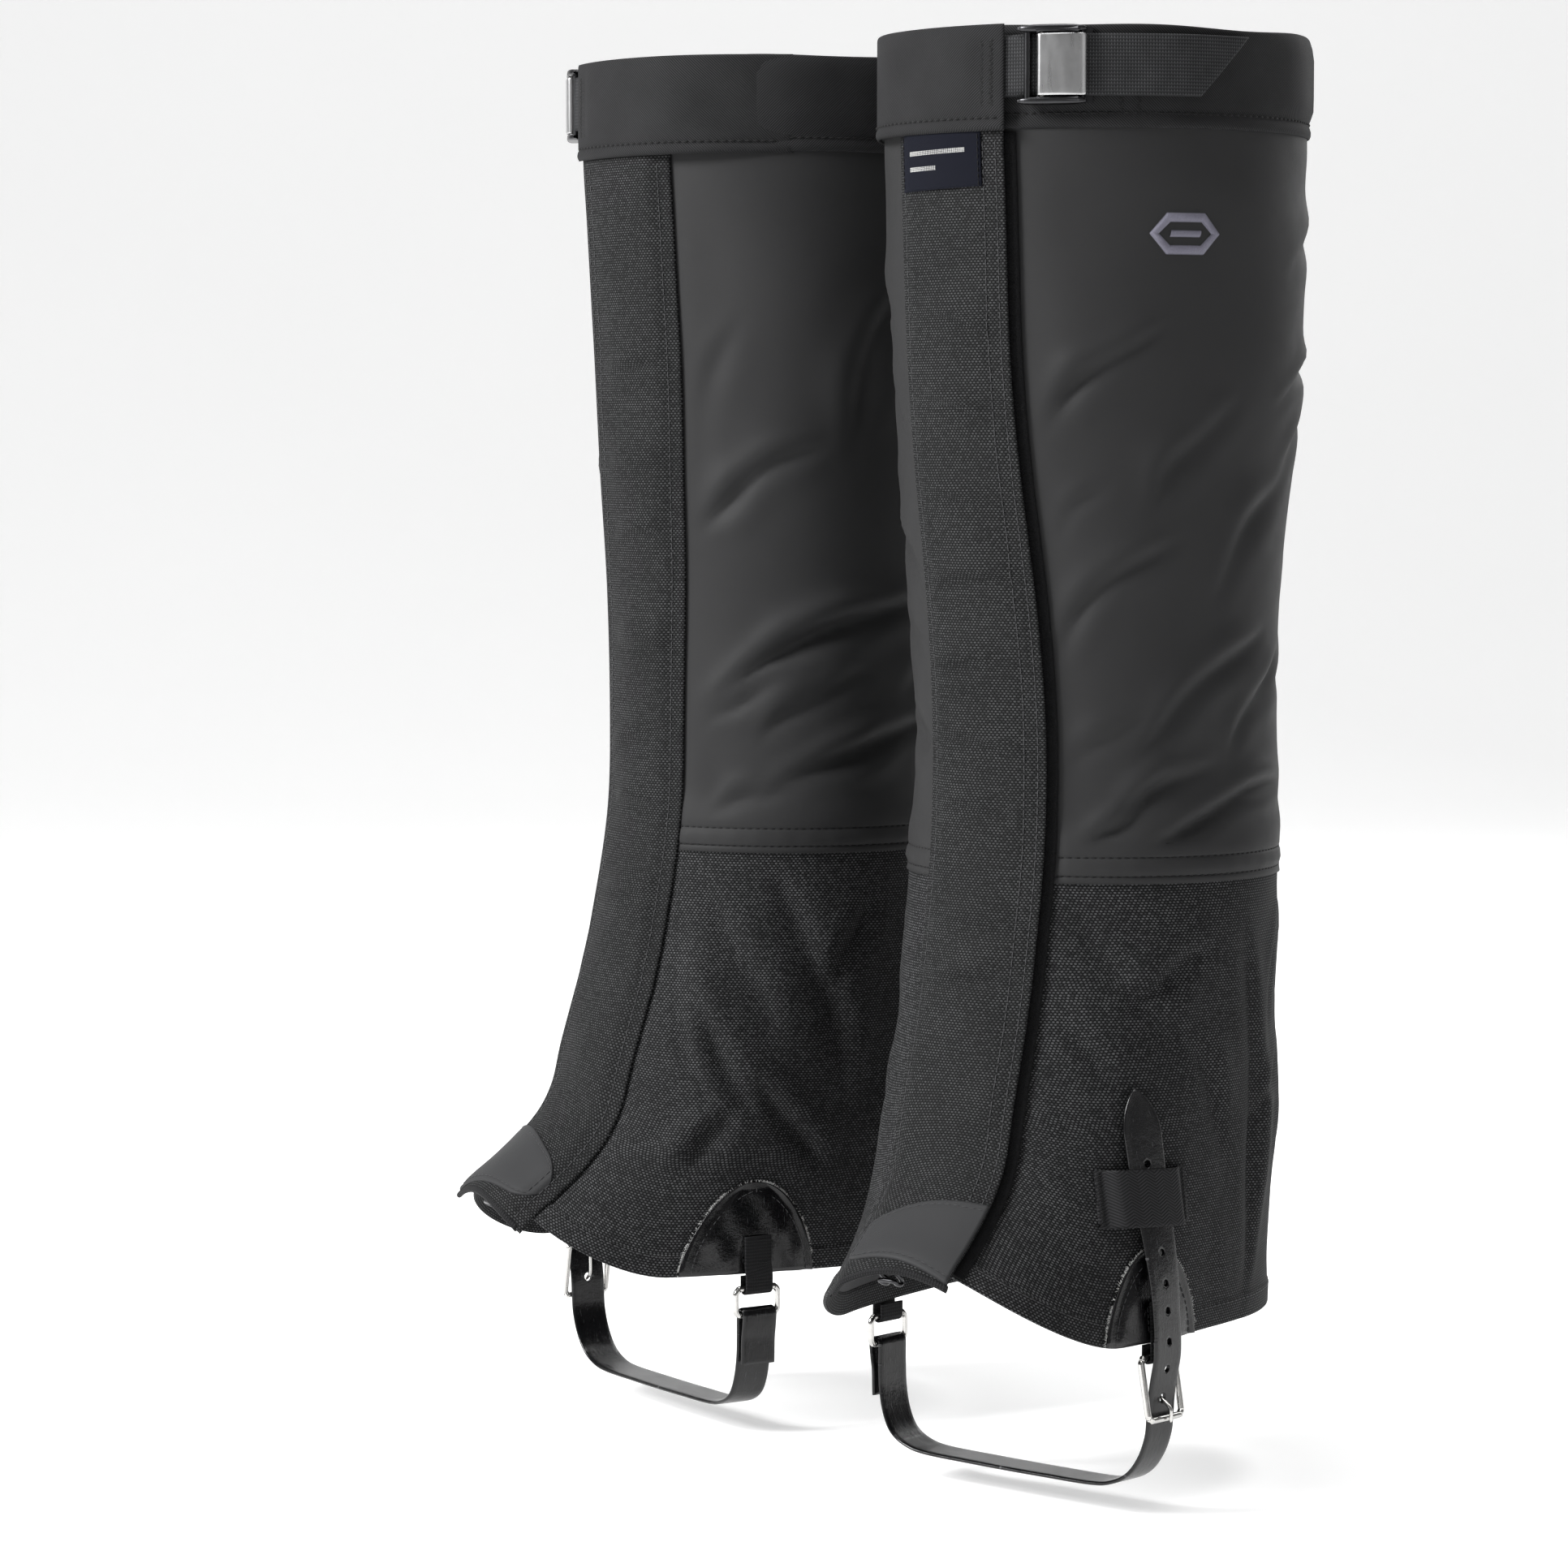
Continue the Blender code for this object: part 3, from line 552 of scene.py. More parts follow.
def hairs(roots, normals, tangents, length, radius, rng, curl):
    """Short curved fibres: a three-sided tapering tube of four rings each."""
    n = len(roots)
    lean = rng.uniform(-1, 1, (n, 1))
    side_lean = rng.uniform(-1, 1, (n, 1))
    across = np.cross(normals, tangents)
    size = length * rng.uniform(0.6, 1.25, (n, 1))
    rings = []
    for share, thin in ((0.0, 1.0), (0.35, 0.9), (0.7, 0.7), (1.0, 0.2)):
        bend = curl * share**1.5
        centre = roots + size * (normals * share * (1 - 0.35 * share)
                                 + tangents * lean * bend + across * side_lean * bend)
        for j in range(3):
            a = 2 * math.pi * j / 3
            rings.append(centre + radius * thin * (tangents * math.cos(a) + across * math.sin(a)))
    return copies(np.stack(rings, 1), grid_faces(4, 3, True)[0])


# ================================================================ materials
class Value:
    """A node's output, so that a material can be written as sums and products."""

    def __init__(self, nodes, socket):
        self.nodes, self.socket = nodes, socket

    def __add__(self, other):
        return self.nodes.math("ADD", self, other)

    def __mul__(self, other):
        return self.nodes.math("MULTIPLY", self, other)

    def __sub__(self, other):
        return self.nodes.math("SUBTRACT", self, other)

    def __rsub__(self, other):
        return self.nodes.math("SUBTRACT", other, self)

    def __pow__(self, other):
        return self.nodes.math("POWER", self, other)

    def __abs__(self):
        return self.nodes.math("ABSOLUTE", self)


class Nodes:
    """A material's node tree, with its shader's constants set on its own sockets."""

    def __init__(self, name, colour, roughness, **sockets):
        self.mat = bpy.data.materials.new(name)
        self.mat.use_nodes = True
        self.tree = self.mat.node_tree
        self.shader = self.tree.nodes["Principled BSDF"]
        self.shader.inputs["Base Color"].default_value = (*colour, 1.0)
        self.shader.inputs["Roughness"].default_value = roughness
        for key, value in sockets.items():
            self.shader.inputs[key.replace("_", " ")].default_value = value

    def put(self, socket, value):
        if isinstance(value, Value):
            self.tree.links.new(value.socket, socket)
        else:
            socket.default_value = value

    def add(self, kind, inputs=None, output=0, **settings):
        """One output of a new node."""
        node = self.tree.nodes.new(kind)
        for key, value in settings.items():
            setattr(node, key, value)
        for key, value in (inputs or {}).items():
            self.put(node.inputs[key], value)
        return Value(self, node.outputs[output])

    def math(self, op, *values):
        return self.add("ShaderNodeMath", dict(enumerate(values)), operation=op)

    def uv(self, across=1.0, along=1.0):
        """The cloth's own coordinates in metres, times a scale."""
        pin = self.add("ShaderNodeUVMap", uv_map="cloth")
        return self.add("ShaderNodeMapping", {"Vector": pin, "Scale": (across, along, 1.0)})

    def uv_pair(self, across, along):
        u = self.add("ShaderNodeSeparateXYZ", {0: self.uv(across, along)})
        return u, Value(self, u.socket.node.outputs[1])

    def own(self):
        return self.add("ShaderNodeTexCoord", output="Object")

    def noise(self, vector, scale, detail=2.0, rough=0.5):
        return self.add("ShaderNodeTexNoise", {"Vector": vector, "Scale": scale, "Detail": detail,
                                               "Roughness": rough}, "Fac")

    def colour(self, share, a, b):
        """Base colour between two tones."""
        mixed = self.add("ShaderNodeMix", {0: share, 6: (*a, 1.0), 7: (*b, 1.0)}, 2,
                         data_type="RGBA")
        self.put(self.shader.inputs["Base Color"], mixed)

    def roughness(self, value):
        self.put(self.shader.inputs["Roughness"], value)

    def bump(self, height, distance, strength):
        """Links a bump and gives the finished material."""
        node = self.add("ShaderNodeBump", {"Height": height, "Distance": distance,
                                           "Strength": strength})
        self.put(self.shader.inputs["Normal"], node)
        return self.mat

    def weave(self, pitch_u, pitch_v):
        """Rounded threads in offset rows: their height, and a random value for each."""
        u, v = self.uv_pair(1 / pitch_u, 1 / pitch_v)
        row = self.math("FLOOR", v)
        shifted = row * 0.5 + u
        x, y = self.math("FRACT", shifted) - 0.5, self.math("FRACT", v) - 0.5
        height = self.math("MAXIMUM", 1.0 - (x * x + y * y) * 3.6, 0.0)
        cell = self.add("ShaderNodeCombineXYZ", {0: self.math("FLOOR", shifted), 1: row})
        return height, self.add("ShaderNodeTexWhiteNoise", {"Vector": cell}, "Value")


def cloth_nodes(name, colour, roughness, specular, sheen=0.01, sheen_roughness=0.45):
    return Nodes(name, colour, roughness, Sheen_Weight=sheen, Sheen_Roughness=sheen_roughness,
                 Specular_IOR_Level=specular)


def coarse_cloth(name, dark, light, pitch_u=0.00145, pitch_v=0.00092):
    n = cloth_nodes(name, dark, 0.66, 0.12)
    height, spread = n.weave(pitch_u, pitch_v)
    patchy = n.noise(n.uv(), 38.0, 3.0)
    streak = n.noise(n.uv(40.0, 900.0), 1.0)
    # Painted highlight: the colour is lighter on each thread's crown and darker between the
    # threads, standing in for light glinting on the weave.
    painted_thread_highlight = height**2.3 * (spread * 1.10 + 0.35) * (patchy * 0.9 + 0.55) * (streak * 0.5 + 0.75)
    n.colour(painted_thread_highlight, dark, light)
    n.roughness(spread * 0.18 + 0.66)
    return n.bump(n.noise(n.uv(), 5200.0) * 0.15 + height, 0.00012, 1.0)


def smooth_cloth(name, tone):
    n = cloth_nodes(name, tone, 0.55, 0.13, sheen_roughness=0.35)
    cloud = n.noise(n.uv(), 16.0, 4.0, 0.6)
    n.colour(cloud, [0.86 * x for x in tone], [1.12 * x for x in tone])
    u, v = n.uv_pair(2 * math.pi / 0.00042, 2 * math.pi / 0.00038)
    n.roughness(n.noise(n.uv(), 90.0, 3.0) * 0.16 + 0.48)
    slub = n.noise(n.uv(260.0, 2400.0), 1.0)
    return n.bump(slub * 1.2 + n.math("SINE", u) * n.math("SINE", v), 0.000022, 0.6)


def twill_cloth(name, dark, light, pitch):
    n = cloth_nodes(name, dark, 0.75, 0.10)
    u, v = n.uv_pair(1 / pitch, 1 / pitch)
    diagonal = n.math("SINE", (u - v) * (2 * math.pi))
    across = n.math("SINE", (u + v) * (2 * math.pi * 1.7))
    height = (across * 0.25 + diagonal) * 0.4 + 0.5
    patchy = n.noise(n.uv(), 60.0, 3.0)
    n.colour(height * (patchy * 0.9 + 0.5), dark, light)
    n.roughness(patchy * 0.2 + 0.62)
    return n.bump(height, 0.00014, 0.8)


def ribbed_webbing(name, dark, light):
    n = cloth_nodes(name, dark, 0.7, 0.14, sheen_roughness=0.4)
    u, v = n.uv_pair(1 / 0.00103, 1 / 0.0012)
    rib = abs(n.math("SINE", u * math.pi))
    chevron = n.math("FRACT", v + abs(n.math("FRACT", u) - 0.5))
    height = rib**0.7 * (1.0 - abs(chevron - 0.5) * 1.7)
    patchy = n.noise(n.uv(), 160.0, 3.0)
    n.colour(height * (patchy * 0.9 + 0.5), dark, light)
    n.roughness(patchy * 0.2 + 0.58)
    return n.bump(height, 0.00022, 0.9)


def herringbone_tape(name, dark, light):
    n = cloth_nodes(name, dark, 0.5, 0.22, sheen_roughness=0.4)
    u, v = n.uv_pair(1 / 0.0052, 1 / 0.0011)
    zigzag = abs(n.math("FRACT", u) - 0.5) * 4.0 + v
    height = n.math("SINE", zigzag * (2 * math.pi)) * 0.5 + 0.5
    n.colour(height, dark, light)
    n.roughness(height * -0.15 + 0.72)
    return n.bump(height, 0.00016, 0.8)


def glossy_sheet(name, tone, worn, roughness):
    """A coated sheet: fine grain, dents, scuffs that catch the light, streaks along it."""
    n = Nodes(name, tone, roughness, Specular_IOR_Level=0.30, Coat_Weight=0.16, Coat_Roughness=0.08)
    broad = n.noise(n.uv(), 60.0, 4.0, 0.6)
    scratch = n.noise(n.uv(2600.0, 160.0), 1.0, 4.0, 0.65)
    scuffs = n.math("GREATER_THAN", scratch, 0.66) * broad
    n.colour(scuffs, tone, worn)
    n.roughness(broad * 0.22 + (roughness - 0.1) + scuffs * 0.25)
    grain = n.noise(n.uv(), 1500.0, 3.0)
    return n.bump(grain * 0.12 + (scratch * 0.25 + broad), 0.0007, 0.8)


def bright_metal(name, tone, roughness, scratch_scale=900.0):
    n = Nodes(name, tone, roughness, Metallic=1.0)
    along = n.add("ShaderNodeMapping", {"Vector": n.own(), "Scale": (1.0, 1.0, 0.12)})
    brushed = n.noise(along, scratch_scale, 4.0, 0.6)
    grime = n.noise(n.own(), 240.0, 3.0)
    n.colour(grime * 0.55, tone, [0.55 * x for x in tone])
    n.roughness(brushed * 0.22 + (roughness - 0.06))
    return n.bump(grime * 0.6 + brushed, 0.00004, 0.5)


def thread(name, tone, roughness=0.6):
    n = cloth_nodes(name, tone, roughness, 0.3, 0.05, 0.4)
    twist = n.noise(n.own(), 3000.0)
    n.colour(twist, [0.6 * x for x in tone], [1.35 * x for x in tone])
    return n.bump(twist, 0.00008, 0.7)


def pile(name, dark, light):
    """Looped pile of the hook-and-loop strips."""
    n = cloth_nodes(name, dark, 0.9, 0.08, 0.02, 0.5)
    fuzz = n.noise(n.own(), 2600.0, 4.0, 0.7)
    n.colour(fuzz**2.0, dark, light)
    return n.bump(fuzz, 0.0006, 1.0)


def floor_material():
    n = Nodes("floor_pale", [0.84] * 3, 0.85, Emission_Strength=0.36, Emission_Color=[1.0] * 4)
    n.colour(n.noise(n.own(), 3.0), [0.83] * 3, [0.85] * 3)
    return n.mat


UPPER = smooth_cloth("upper_nylon", (0.0240, 0.0240, 0.0246))
LINING = smooth_cloth("lining_coated", (0.034, 0.034, 0.036))
# The second tone of each coarse cloth is its painted highlight on the threads' crowns.
LOWER = coarse_cloth("lower_nylon", (0.0026, 0.0027, 0.0030), (0.076, 0.077, 0.079))
FLAP = coarse_cloth("flap_nylon", (0.0026, 0.0027, 0.0029), (0.054, 0.055, 0.056), 0.00140, 0.00092)
CUFF = twill_cloth("cuff_twill_cloth", (0.0036, 0.0036, 0.0040), (0.033, 0.033, 0.0343), 0.00100)
WEB_GREY = ribbed_webbing("cinch_ribs", (0.005, 0.005, 0.0055), (0.058, 0.059, 0.062))
WEB_BLACK = ribbed_webbing("tab_ribs", (0.0025, 0.0025, 0.0028), (0.020, 0.020, 0.0215))
TAPE = herringbone_tape("keeper_tape", (0.0020, 0.0020, 0.0024), (0.015, 0.015, 0.0165))
TOE = smooth_cloth("toe_patch_cloth", (0.032, 0.0323, 0.0335))
STRAP = glossy_sheet("strap_coated", (0.0050, 0.0050, 0.0055), (0.10, 0.10, 0.105), 0.20)
PATCH = glossy_sheet("patch_coated", (0.0018, 0.0018, 0.0022), (0.07, 0.07, 0.074), 0.17)
STEEL = bright_metal("wire_steel", (0.66, 0.65, 0.63), 0.14)
DARK_METAL = bright_metal("buckle_metal", (0.055, 0.055, 0.058), 0.26)
LEVER = bright_metal("lever_metal", (0.60, 0.60, 0.605), 0.24, 240.0)
THREAD_DARK = thread("thread_dark", (0.0022, 0.0022, 0.0025), 0.75)
THREAD_GREY = thread("thread_grey", (0.034, 0.034, 0.036))
THREAD_PALE = thread("thread_pale", (0.46, 0.46, 0.45))
THREAD_BADGE = thread("thread_badge", (0.175, 0.17, 0.215), 0.45)
PILE = pile("loop_pile", (0.0020, 0.0020, 0.0022), (0.022, 0.022, 0.0235))
LABEL = twill_cloth("label_cloth", (0.0020, 0.0026, 0.0060), (0.0055, 0.0065, 0.0140), 0.0004)
FRAY = thread("frayed_edge", (0.55, 0.55, 0.54), 0.8)


# ================================================================ folds
def fold_at(u, v, ends, width, depth, bow=0.10):
    """One soft fold between two points of the cloth: a valley with a ridge above it."""
    (u0, v0), (u1, v1) = ends
    if u1 < u0:
        u0, v0, u1, v1 = u1, v1, u0, v0
    span = math.hypot(u1 - u0, v1 - v0)
    half = 0.58 * span
    cu, cv = 0.5 * (u0 + u1), 0.5 * (v0 + v1)
    ax, ay = (u1 - u0) / span, (v1 - v0) / span
    along = ((u - cu) * ax + (v - cv) * ay) / half
    across = -(u - cu) * ay + (v - cv) * ax
    phase = 400.0 * (cu + 3.1 * cv)
    across = across + bow * half * (along**2 - 0.5) + 0.0011 * np.sin(3.4 * along + phase)
    taper = np.clip(1.0 - (along / 1.35) ** 2, 0.0, 1.0) ** 1.25
    taper = taper * (1.0 + 0.25 * np.sin(4.3 * along + 1.7 * phase))
    w = width * (0.50 + 0.50 * np.clip(taper, 0, 1))
    valley = np.exp(-(np.abs(across / w) ** 1.5))
    upper = (across - 1.75 * w) / (1.3 * w)
    ridge = np.exp(-(np.abs(upper) ** np.where(upper < 0, 2.4, 1.5)))
    low_ridge = bell(across + 1.9 * w, 1.4 * w)
    return depth * taper * (0.95 * ridge + 0.40 * low_ridge - 1.05 * valley)


def folds(u, v, listed):
    """Sum of folds given as (angle, height, angle, height, width mm, depth mm)."""
    total = np.zeros(np.broadcast(u, v).shape)
    for a0, z0, a1, z1, width, depth in listed:
        ends = ((math.radians(a0) * NOMINAL_RADIUS, z0), (math.radians(a1) * NOMINAL_RADIUS, z1))
        total += fold_at(u, v, ends, FOLD_WIDTH_GAIN * width / 1000.0,
                         FOLD_DEPTH_GAIN * depth / 1000.0)
    return total


def scattered(u, v, low, high, count, seed, slope, size=1.0):
    """Random folds over a range of angles and heights, all leaning about one way."""
    rng = np.random.RandomState(seed)
    total = np.zeros(np.broadcast(u, v).shape)
    for _ in range(count):
        cu = math.radians(rng.uniform(low[0], high[0])) * NOMINAL_RADIUS
        cv = rng.uniform(low[1], high[1])
        lean = math.radians(slope + rng.uniform(-22.0, 22.0))
        half = rng.uniform(0.012, 0.030)
        du, dv = half * math.cos(lean), half * math.sin(lean)
        ends = ((cu - du, cv - dv), (cu + du, cv + dv))
        width, depth = rng.uniform(0.0032, 0.0060), rng.uniform(0.0007, 0.0019)
        total += fold_at(u, v, ends, width, size * depth)
    return total


def swell(u, v, seed, amount, size=0.09):
    """Very broad unevenness of the cloth."""
    rng = np.random.RandomState(seed)
    total = np.zeros(np.broadcast(u, v).shape)
    for _ in range(9):
        turn, phase = rng.uniform(0, 2 * math.pi), rng.uniform(0, 2 * math.pi)
        k = 2 * math.pi / (size * rng.uniform(0.6, 1.6))
        total += np.sin(k * (u * math.cos(turn) + v * math.sin(turn)) + phase)
    return amount * total / 4.5


UPPER_FOLDS = {
    1: (
        (17, 0.384, 44, 0.412, 5.5, 1.3), (16, 0.303, 48, 0.338, 5.5, 1.2),
        (52, 0.277, 88, 0.306, 6.0, 1.3), (36, 0.243, 66, 0.262, 5.0, 1.4),
        (52, 0.237, 104, 0.256, 5.0, 1.8), (28, 0.233, 46, 0.246, 4.0, 0.9),
        (50, 0.358, 70, 0.386, 6.0, 0.9), (20, 0.345, 34, 0.362, 4.0, 0.5),
        (74, 0.330, 98, 0.362, 7.0, 0.9), (22, 0.262, 46, 0.280, 5.0, 0.6),
        (84, 0.275, 112, 0.300, 6.0, 1.1),
    ),
    -1: (
        (-48, 0.287, -112, 0.318, 6.5, 2.2), (-40, 0.348, -70, 0.373, 6.0, 1.4),
        (-40, 0.272, -64, 0.287, 5.0, 1.1), (-70, 0.251, -118, 0.269, 6.0, 1.8),
        (-87, 0.382, -98, 0.428, 8.0, 1.2), (-35, 0.366, -47, 0.414, 7.0, 0.7),
        (-42, 0.238, -68, 0.246, 4.5, 0.7), (-62, 0.270, -90, 0.288, 5.5, 1.1),
    ),
}
LOWER_FOLDS = {
    1: (
        (20, 0.183, 44, 0.132, 6.0, 1.5), (22, 0.124, 42, 0.098, 6.5, 1.6),
        (44, 0.180, 66, 0.197, 7.0, 1.3), (90, 0.182, 94, 0.088, 8.0, 1.5),
        (58, 0.172, 76, 0.130, 7.5, 1.0), (30, 0.205, 60, 0.150, 8.0, 0.7),
    ),
    -1: (
        (-20, 0.183, -41, 0.140, 6.0, 1.6), (-28, 0.180, -54, 0.130, 6.0, 1.6),
        (-57, 0.136, -78, 0.098, 7.0, 1.7), (-84, 0.176, -94, 0.200, 7.0, 1.3),
        (-34, 0.118, -22, 0.098, 5.5, 1.2), (-47, 0.121, -37, 0.082, 6.5, 1.4),
        (-68, 0.203, -86, 0.140, 9.0, 1.2), (-40, 0.205, -60, 0.160, 8.0, 0.8),
    ),
}
FLAP_CREASES = {
    1: (0.418, 0.389, 0.357, 0.328, 0.297, 0.270, 0.247, 0.205, 0.186),
    -1: (0.404, 0.367, 0.341, 0.299, 0.262, 0.238, 0.204),
}


def arc_from_flap(angle, h):
    """Arc from the flap's centre line, positive towards the outer side."""
    return (angle - angle_at_arc(0.0, h)) * NOMINAL_RADIUS


def calm(angle, h):
    """How far the cloth is free to fold: 0 beside the flap, patches and straps, 1 elsewhere."""
    turn = turned(angle)
    arc = arc_from_flap(turn, h)
    free = np.where(arc > 0, ease((arc - 0.029) / 0.016), ease((-arc - 0.027) / 0.016))
    low = h < 0.2
    outer = angle_at_y(OUTER_STRAP_Y, np.where(low, h, 0.2))
    inner = angle_at_y(INNER_STRAP_Y, np.where(low, h, 0.2), True)
    to_outer = np.abs(turn - outer) * NOMINAL_RADIUS
    to_inner = np.abs(turn - inner) * NOMINAL_RADIUS
    patch = ease((0.112 - h) / 0.014)
    tail = ease((0.163 - h) / 0.012)
    free = free * (1 - patch * (1 - ease((to_outer - 0.026) / 0.012)))
    free = free * (1 - tail * (1 - ease((to_outer - 0.015) / 0.012)))
    free = free * (1 - patch * (1 - ease((to_inner - 0.026) / 0.012)))
    return free


def upper_shape(side, angle, h):
    """Offset of the upper panel's inner face."""
    turn = turned(angle)
    u = turn * NOMINAL_RADIUS
    free = calm(angle, h) * ease((0.480 - h) / 0.020) * ease((h - 0.232) / 0.010)
    rise = folds(u, h, UPPER_FOLDS[side]) + swell(u, h, 5 + side, 0.0013)
    rise += scattered(u, h, (105, 0.245), (178, 0.455), 12, 11 + side, 25.0)
    rise += scattered(u, h, (-178, 0.245), (-120, 0.455), 12, 17 + side, -25.0)
    if side > 0:
        rise += scattered(u, h, (-118, 0.245), (-34, 0.44), 12, 23, -28.0)
    else:
        rise += scattered(u, h, (34, 0.245), (104, 0.44), 12, 29, 30.0)
    over = 0.0009 * ease((0.246 - h) / 0.010)
    pucker = 0.75 + 0.25 * np.sin(u / 0.0016) + 0.35 * np.sin(u / 0.0061)
    pillow = 0.00060 * pucker * bell(h - 0.2277, 0.0019)
    for row in SEAM_ROWS:
        pillow = pillow - 0.00055 * bell(h - row, 0.0008)
    arc = arc_from_flap(turn, h)
    clear = np.where(arc > 0, ease((arc - 0.0305) / 0.003), ease((-arc - 0.0265) / 0.003))
    return 0.0001 + (over + pillow) * (0.15 + 0.85 * clear) + free * rise


def lower_shape(side, angle, h):
    turn = turned(angle)
    u = turn * NOMINAL_RADIUS
    free = calm(angle, h) * ease((0.2235 - h) / 0.014) * (0.35 + 0.65 * ease((h - 0.068) / 0.016))
    rise = folds(u, h, LOWER_FOLDS[side]) + swell(u, h, 9 + side, 0.0013)
    rise += scattered(u, h, (104, 0.080), (178, 0.205), 9, 31 + side, 60.0, 1.1)
    rise += scattered(u, h, (-178, 0.080), (-112, 0.205), 9, 37 + side, -60.0, 1.1)
    if side > 0:
        rise += scattered(u, h, (-105, 0.085), (-30, 0.20), 8, 41, 55.0, 1.2)
    else:
        rise += scattered(u, h, (30, 0.085), (110, 0.20), 8, 43, -55.0, 1.2)
    return 0.00005 + free * rise


def upper_outer(side, angle, h):
    return upper_shape(side, angle, h) + UPPER_THICK


def lower_outer(side, angle, h):
    return lower_shape(side, angle, h) + LOWER_THICK


def marks(low, high, step, extra=(), spread=0.0007):
    """Rows between two heights at a step, with closer ones about each extra height."""
    rows = list(np.linspace(low, high, int(round((high - low) / step)) + 1))
    for at in extra:
        rows += [at - spread, at, at + spread]
    return np.unique(np.round(rows, 6))


def shell_angles(h, cols):
    c = np.linspace(0.0, 1.0, cols)[None, :]
    start = angle_at_arc(SHELL_OUTER_ARC, h, FLAP_CENTRE_X)[:, None]
    end = angle_at_arc(SHELL_INNER_ARC, h, FLAP_CENTRE_X)[:, None] + 2 * math.pi
    return start + c * (end - start)


def lay_uv(points):
    """UV in metres: arc along each row, and height along the columns."""
    u = np.stack([run_along(row) for row in points])
    middle = u.shape[1] // 2
    v = run_along(points[:, middle])[:, None] + np.zeros_like(u)
    return np.stack([u - u[:, middle:middle + 1], v], -1)


# ================================================================ cloth pieces
def grid(rows, columns):
    """Two arrays over a grid: the rows' values and the columns'."""
    return np.meshgrid(rows, columns, indexing="ij")


def build_panels(side):
    for part, low, high, step, extra, cols, shape, mat, thick, slot, cut, rest in (
            ("upper", SEAM_Z - 0.0002, 0.4880, 0.0026, SEAM_ROWS, 170, upper_shape, UPPER,
             UPPER_THICK, "smooth_nylon", UPPER_CUT, "cuff_band"),
            ("lower", HEM_LINE, 0.2360, 0.0022, (), 190, lower_shape, LOWER,
             LOWER_THICK, "coarse_nylon", LOWER_CUT, "upper_panel")):
        rows = marks(low, high, step, extra)
        angle = shell_angles(rows, cols)
        h = rows[:, None] + np.zeros_like(angle)
        points = skin(angle, h, shape(side, angle, h))
        cloth = surface(side, part + "_cloth", points, [mat, LINING], thick)
        attach(cloth, side, "gaiter", slot, part + "_panel")

    # Turned hem: a closed band with a rolled lower edge.
    profile = [(0.00125, 0.0715), (0.00135, 0.0700), (0.00130, 0.0675), (0.00130, 0.0650)]
    profile += [(0.00045 + 0.00085 * math.cos(a), HEM_Z + 0.0009 - 0.0009 * math.sin(a))
                for a in np.linspace(0, math.pi, 7)]
    profile += [(-0.0004, 0.0650), (-0.0004, 0.0675), (-0.0004, 0.0700), (-0.0003, 0.0715),
                (0.0004, 0.0718)]
    profile = np.array(profile)
    angle, h = grid(shell_angles(np.array([HEM_Z + 0.004]), 240)[0], profile[:, 1])
    lift = lower_shape(side, angle, np.maximum(h, HEM_LINE))
    loops = skin(angle, h, profile[:, 0] + lift)
    uv = (run_along(loops[:, 0])[:, None], closed(profile[:, 1]))
    attach(loft(side, "hem_fold", loops, uv, [LOWER]), side, "gaiter", "coarse_nylon")


def cuff_profile(outer):
    """Closed section of the folded cuff as (offset, height): up inside, over and down outside."""
    fold = TOP_Z - 0.0012
    half = outer / 2
    points = [(0.0, 0.4885), (0.0, 0.4950), (0.0, 0.5050), (0.0, fold)]
    points += [(half - half * math.cos(a), fold + 0.0011 * math.sin(a))
               for a in np.linspace(0.15, math.pi - 0.15, 7)]
    points += [(outer, z) for z in (0.5165, 0.5125, 0.5080, 0.5035, 0.4990, 0.4945, 0.4915)]
    points += [(outer + n, z) for n, z in (
        (-0.00035, 0.4897), (0.0001, 0.4885), (0.0005, 0.4872), (0.00045, 0.4858), (0.0001, 0.4849),
        (-0.0004, 0.4846), (-0.0008, 0.4852), (-0.0009, 0.4870))]
    return np.array(points + [(0.0009, 0.4882)])


def cuff_middle(h):
    """1 on the cuff's height, fading at its edges."""
    return ease((TOP_Z - h) / 0.006) * ease((h - 0.4895) / 0.006)


def cuff_swell(side, angle, h):
    """Soft puffs of the cuff where nothing lies over it."""
    turn = turned(angle)
    u = turn * NOMINAL_RADIUS
    degrees = np.degrees(turn)
    clear = np.where(degrees > 0, ease((degrees - 78.0) / 16.0), ease((-degrees - 38.0) / 14.0))
    wave = 0.5 + 0.5 * np.sin(u / 0.0075 + 1.3 * side) * np.cos(u / 0.0126 + 0.7)
    return clear * cuff_middle(h) * (0.0005 + 0.0011 * wave)


def build_cuff(side):
    profile = cuff_profile(0.0017)
    angle, h = grid(shell_angles(np.array([CUFF_Z + 0.01]), 300)[0], profile[:, 1])
    loops = skin(angle, h, profile[:, 0] + cuff_swell(side, angle, h))
    wavy = 0.0005 * np.sin(angle * 3 + side) + 0.0004 * np.sin(angle * 7 + 2)
    loops[..., 2] += wavy * ease((h - 0.49) / 0.02)
    uv = (run_along(loops[:, 0])[:, None], run_along(closed(profile)))
    attach(loft(side, "cuff_cloth", loops, uv, [CUFF]), side, "gaiter", "cuff_twill", "cuff_band")


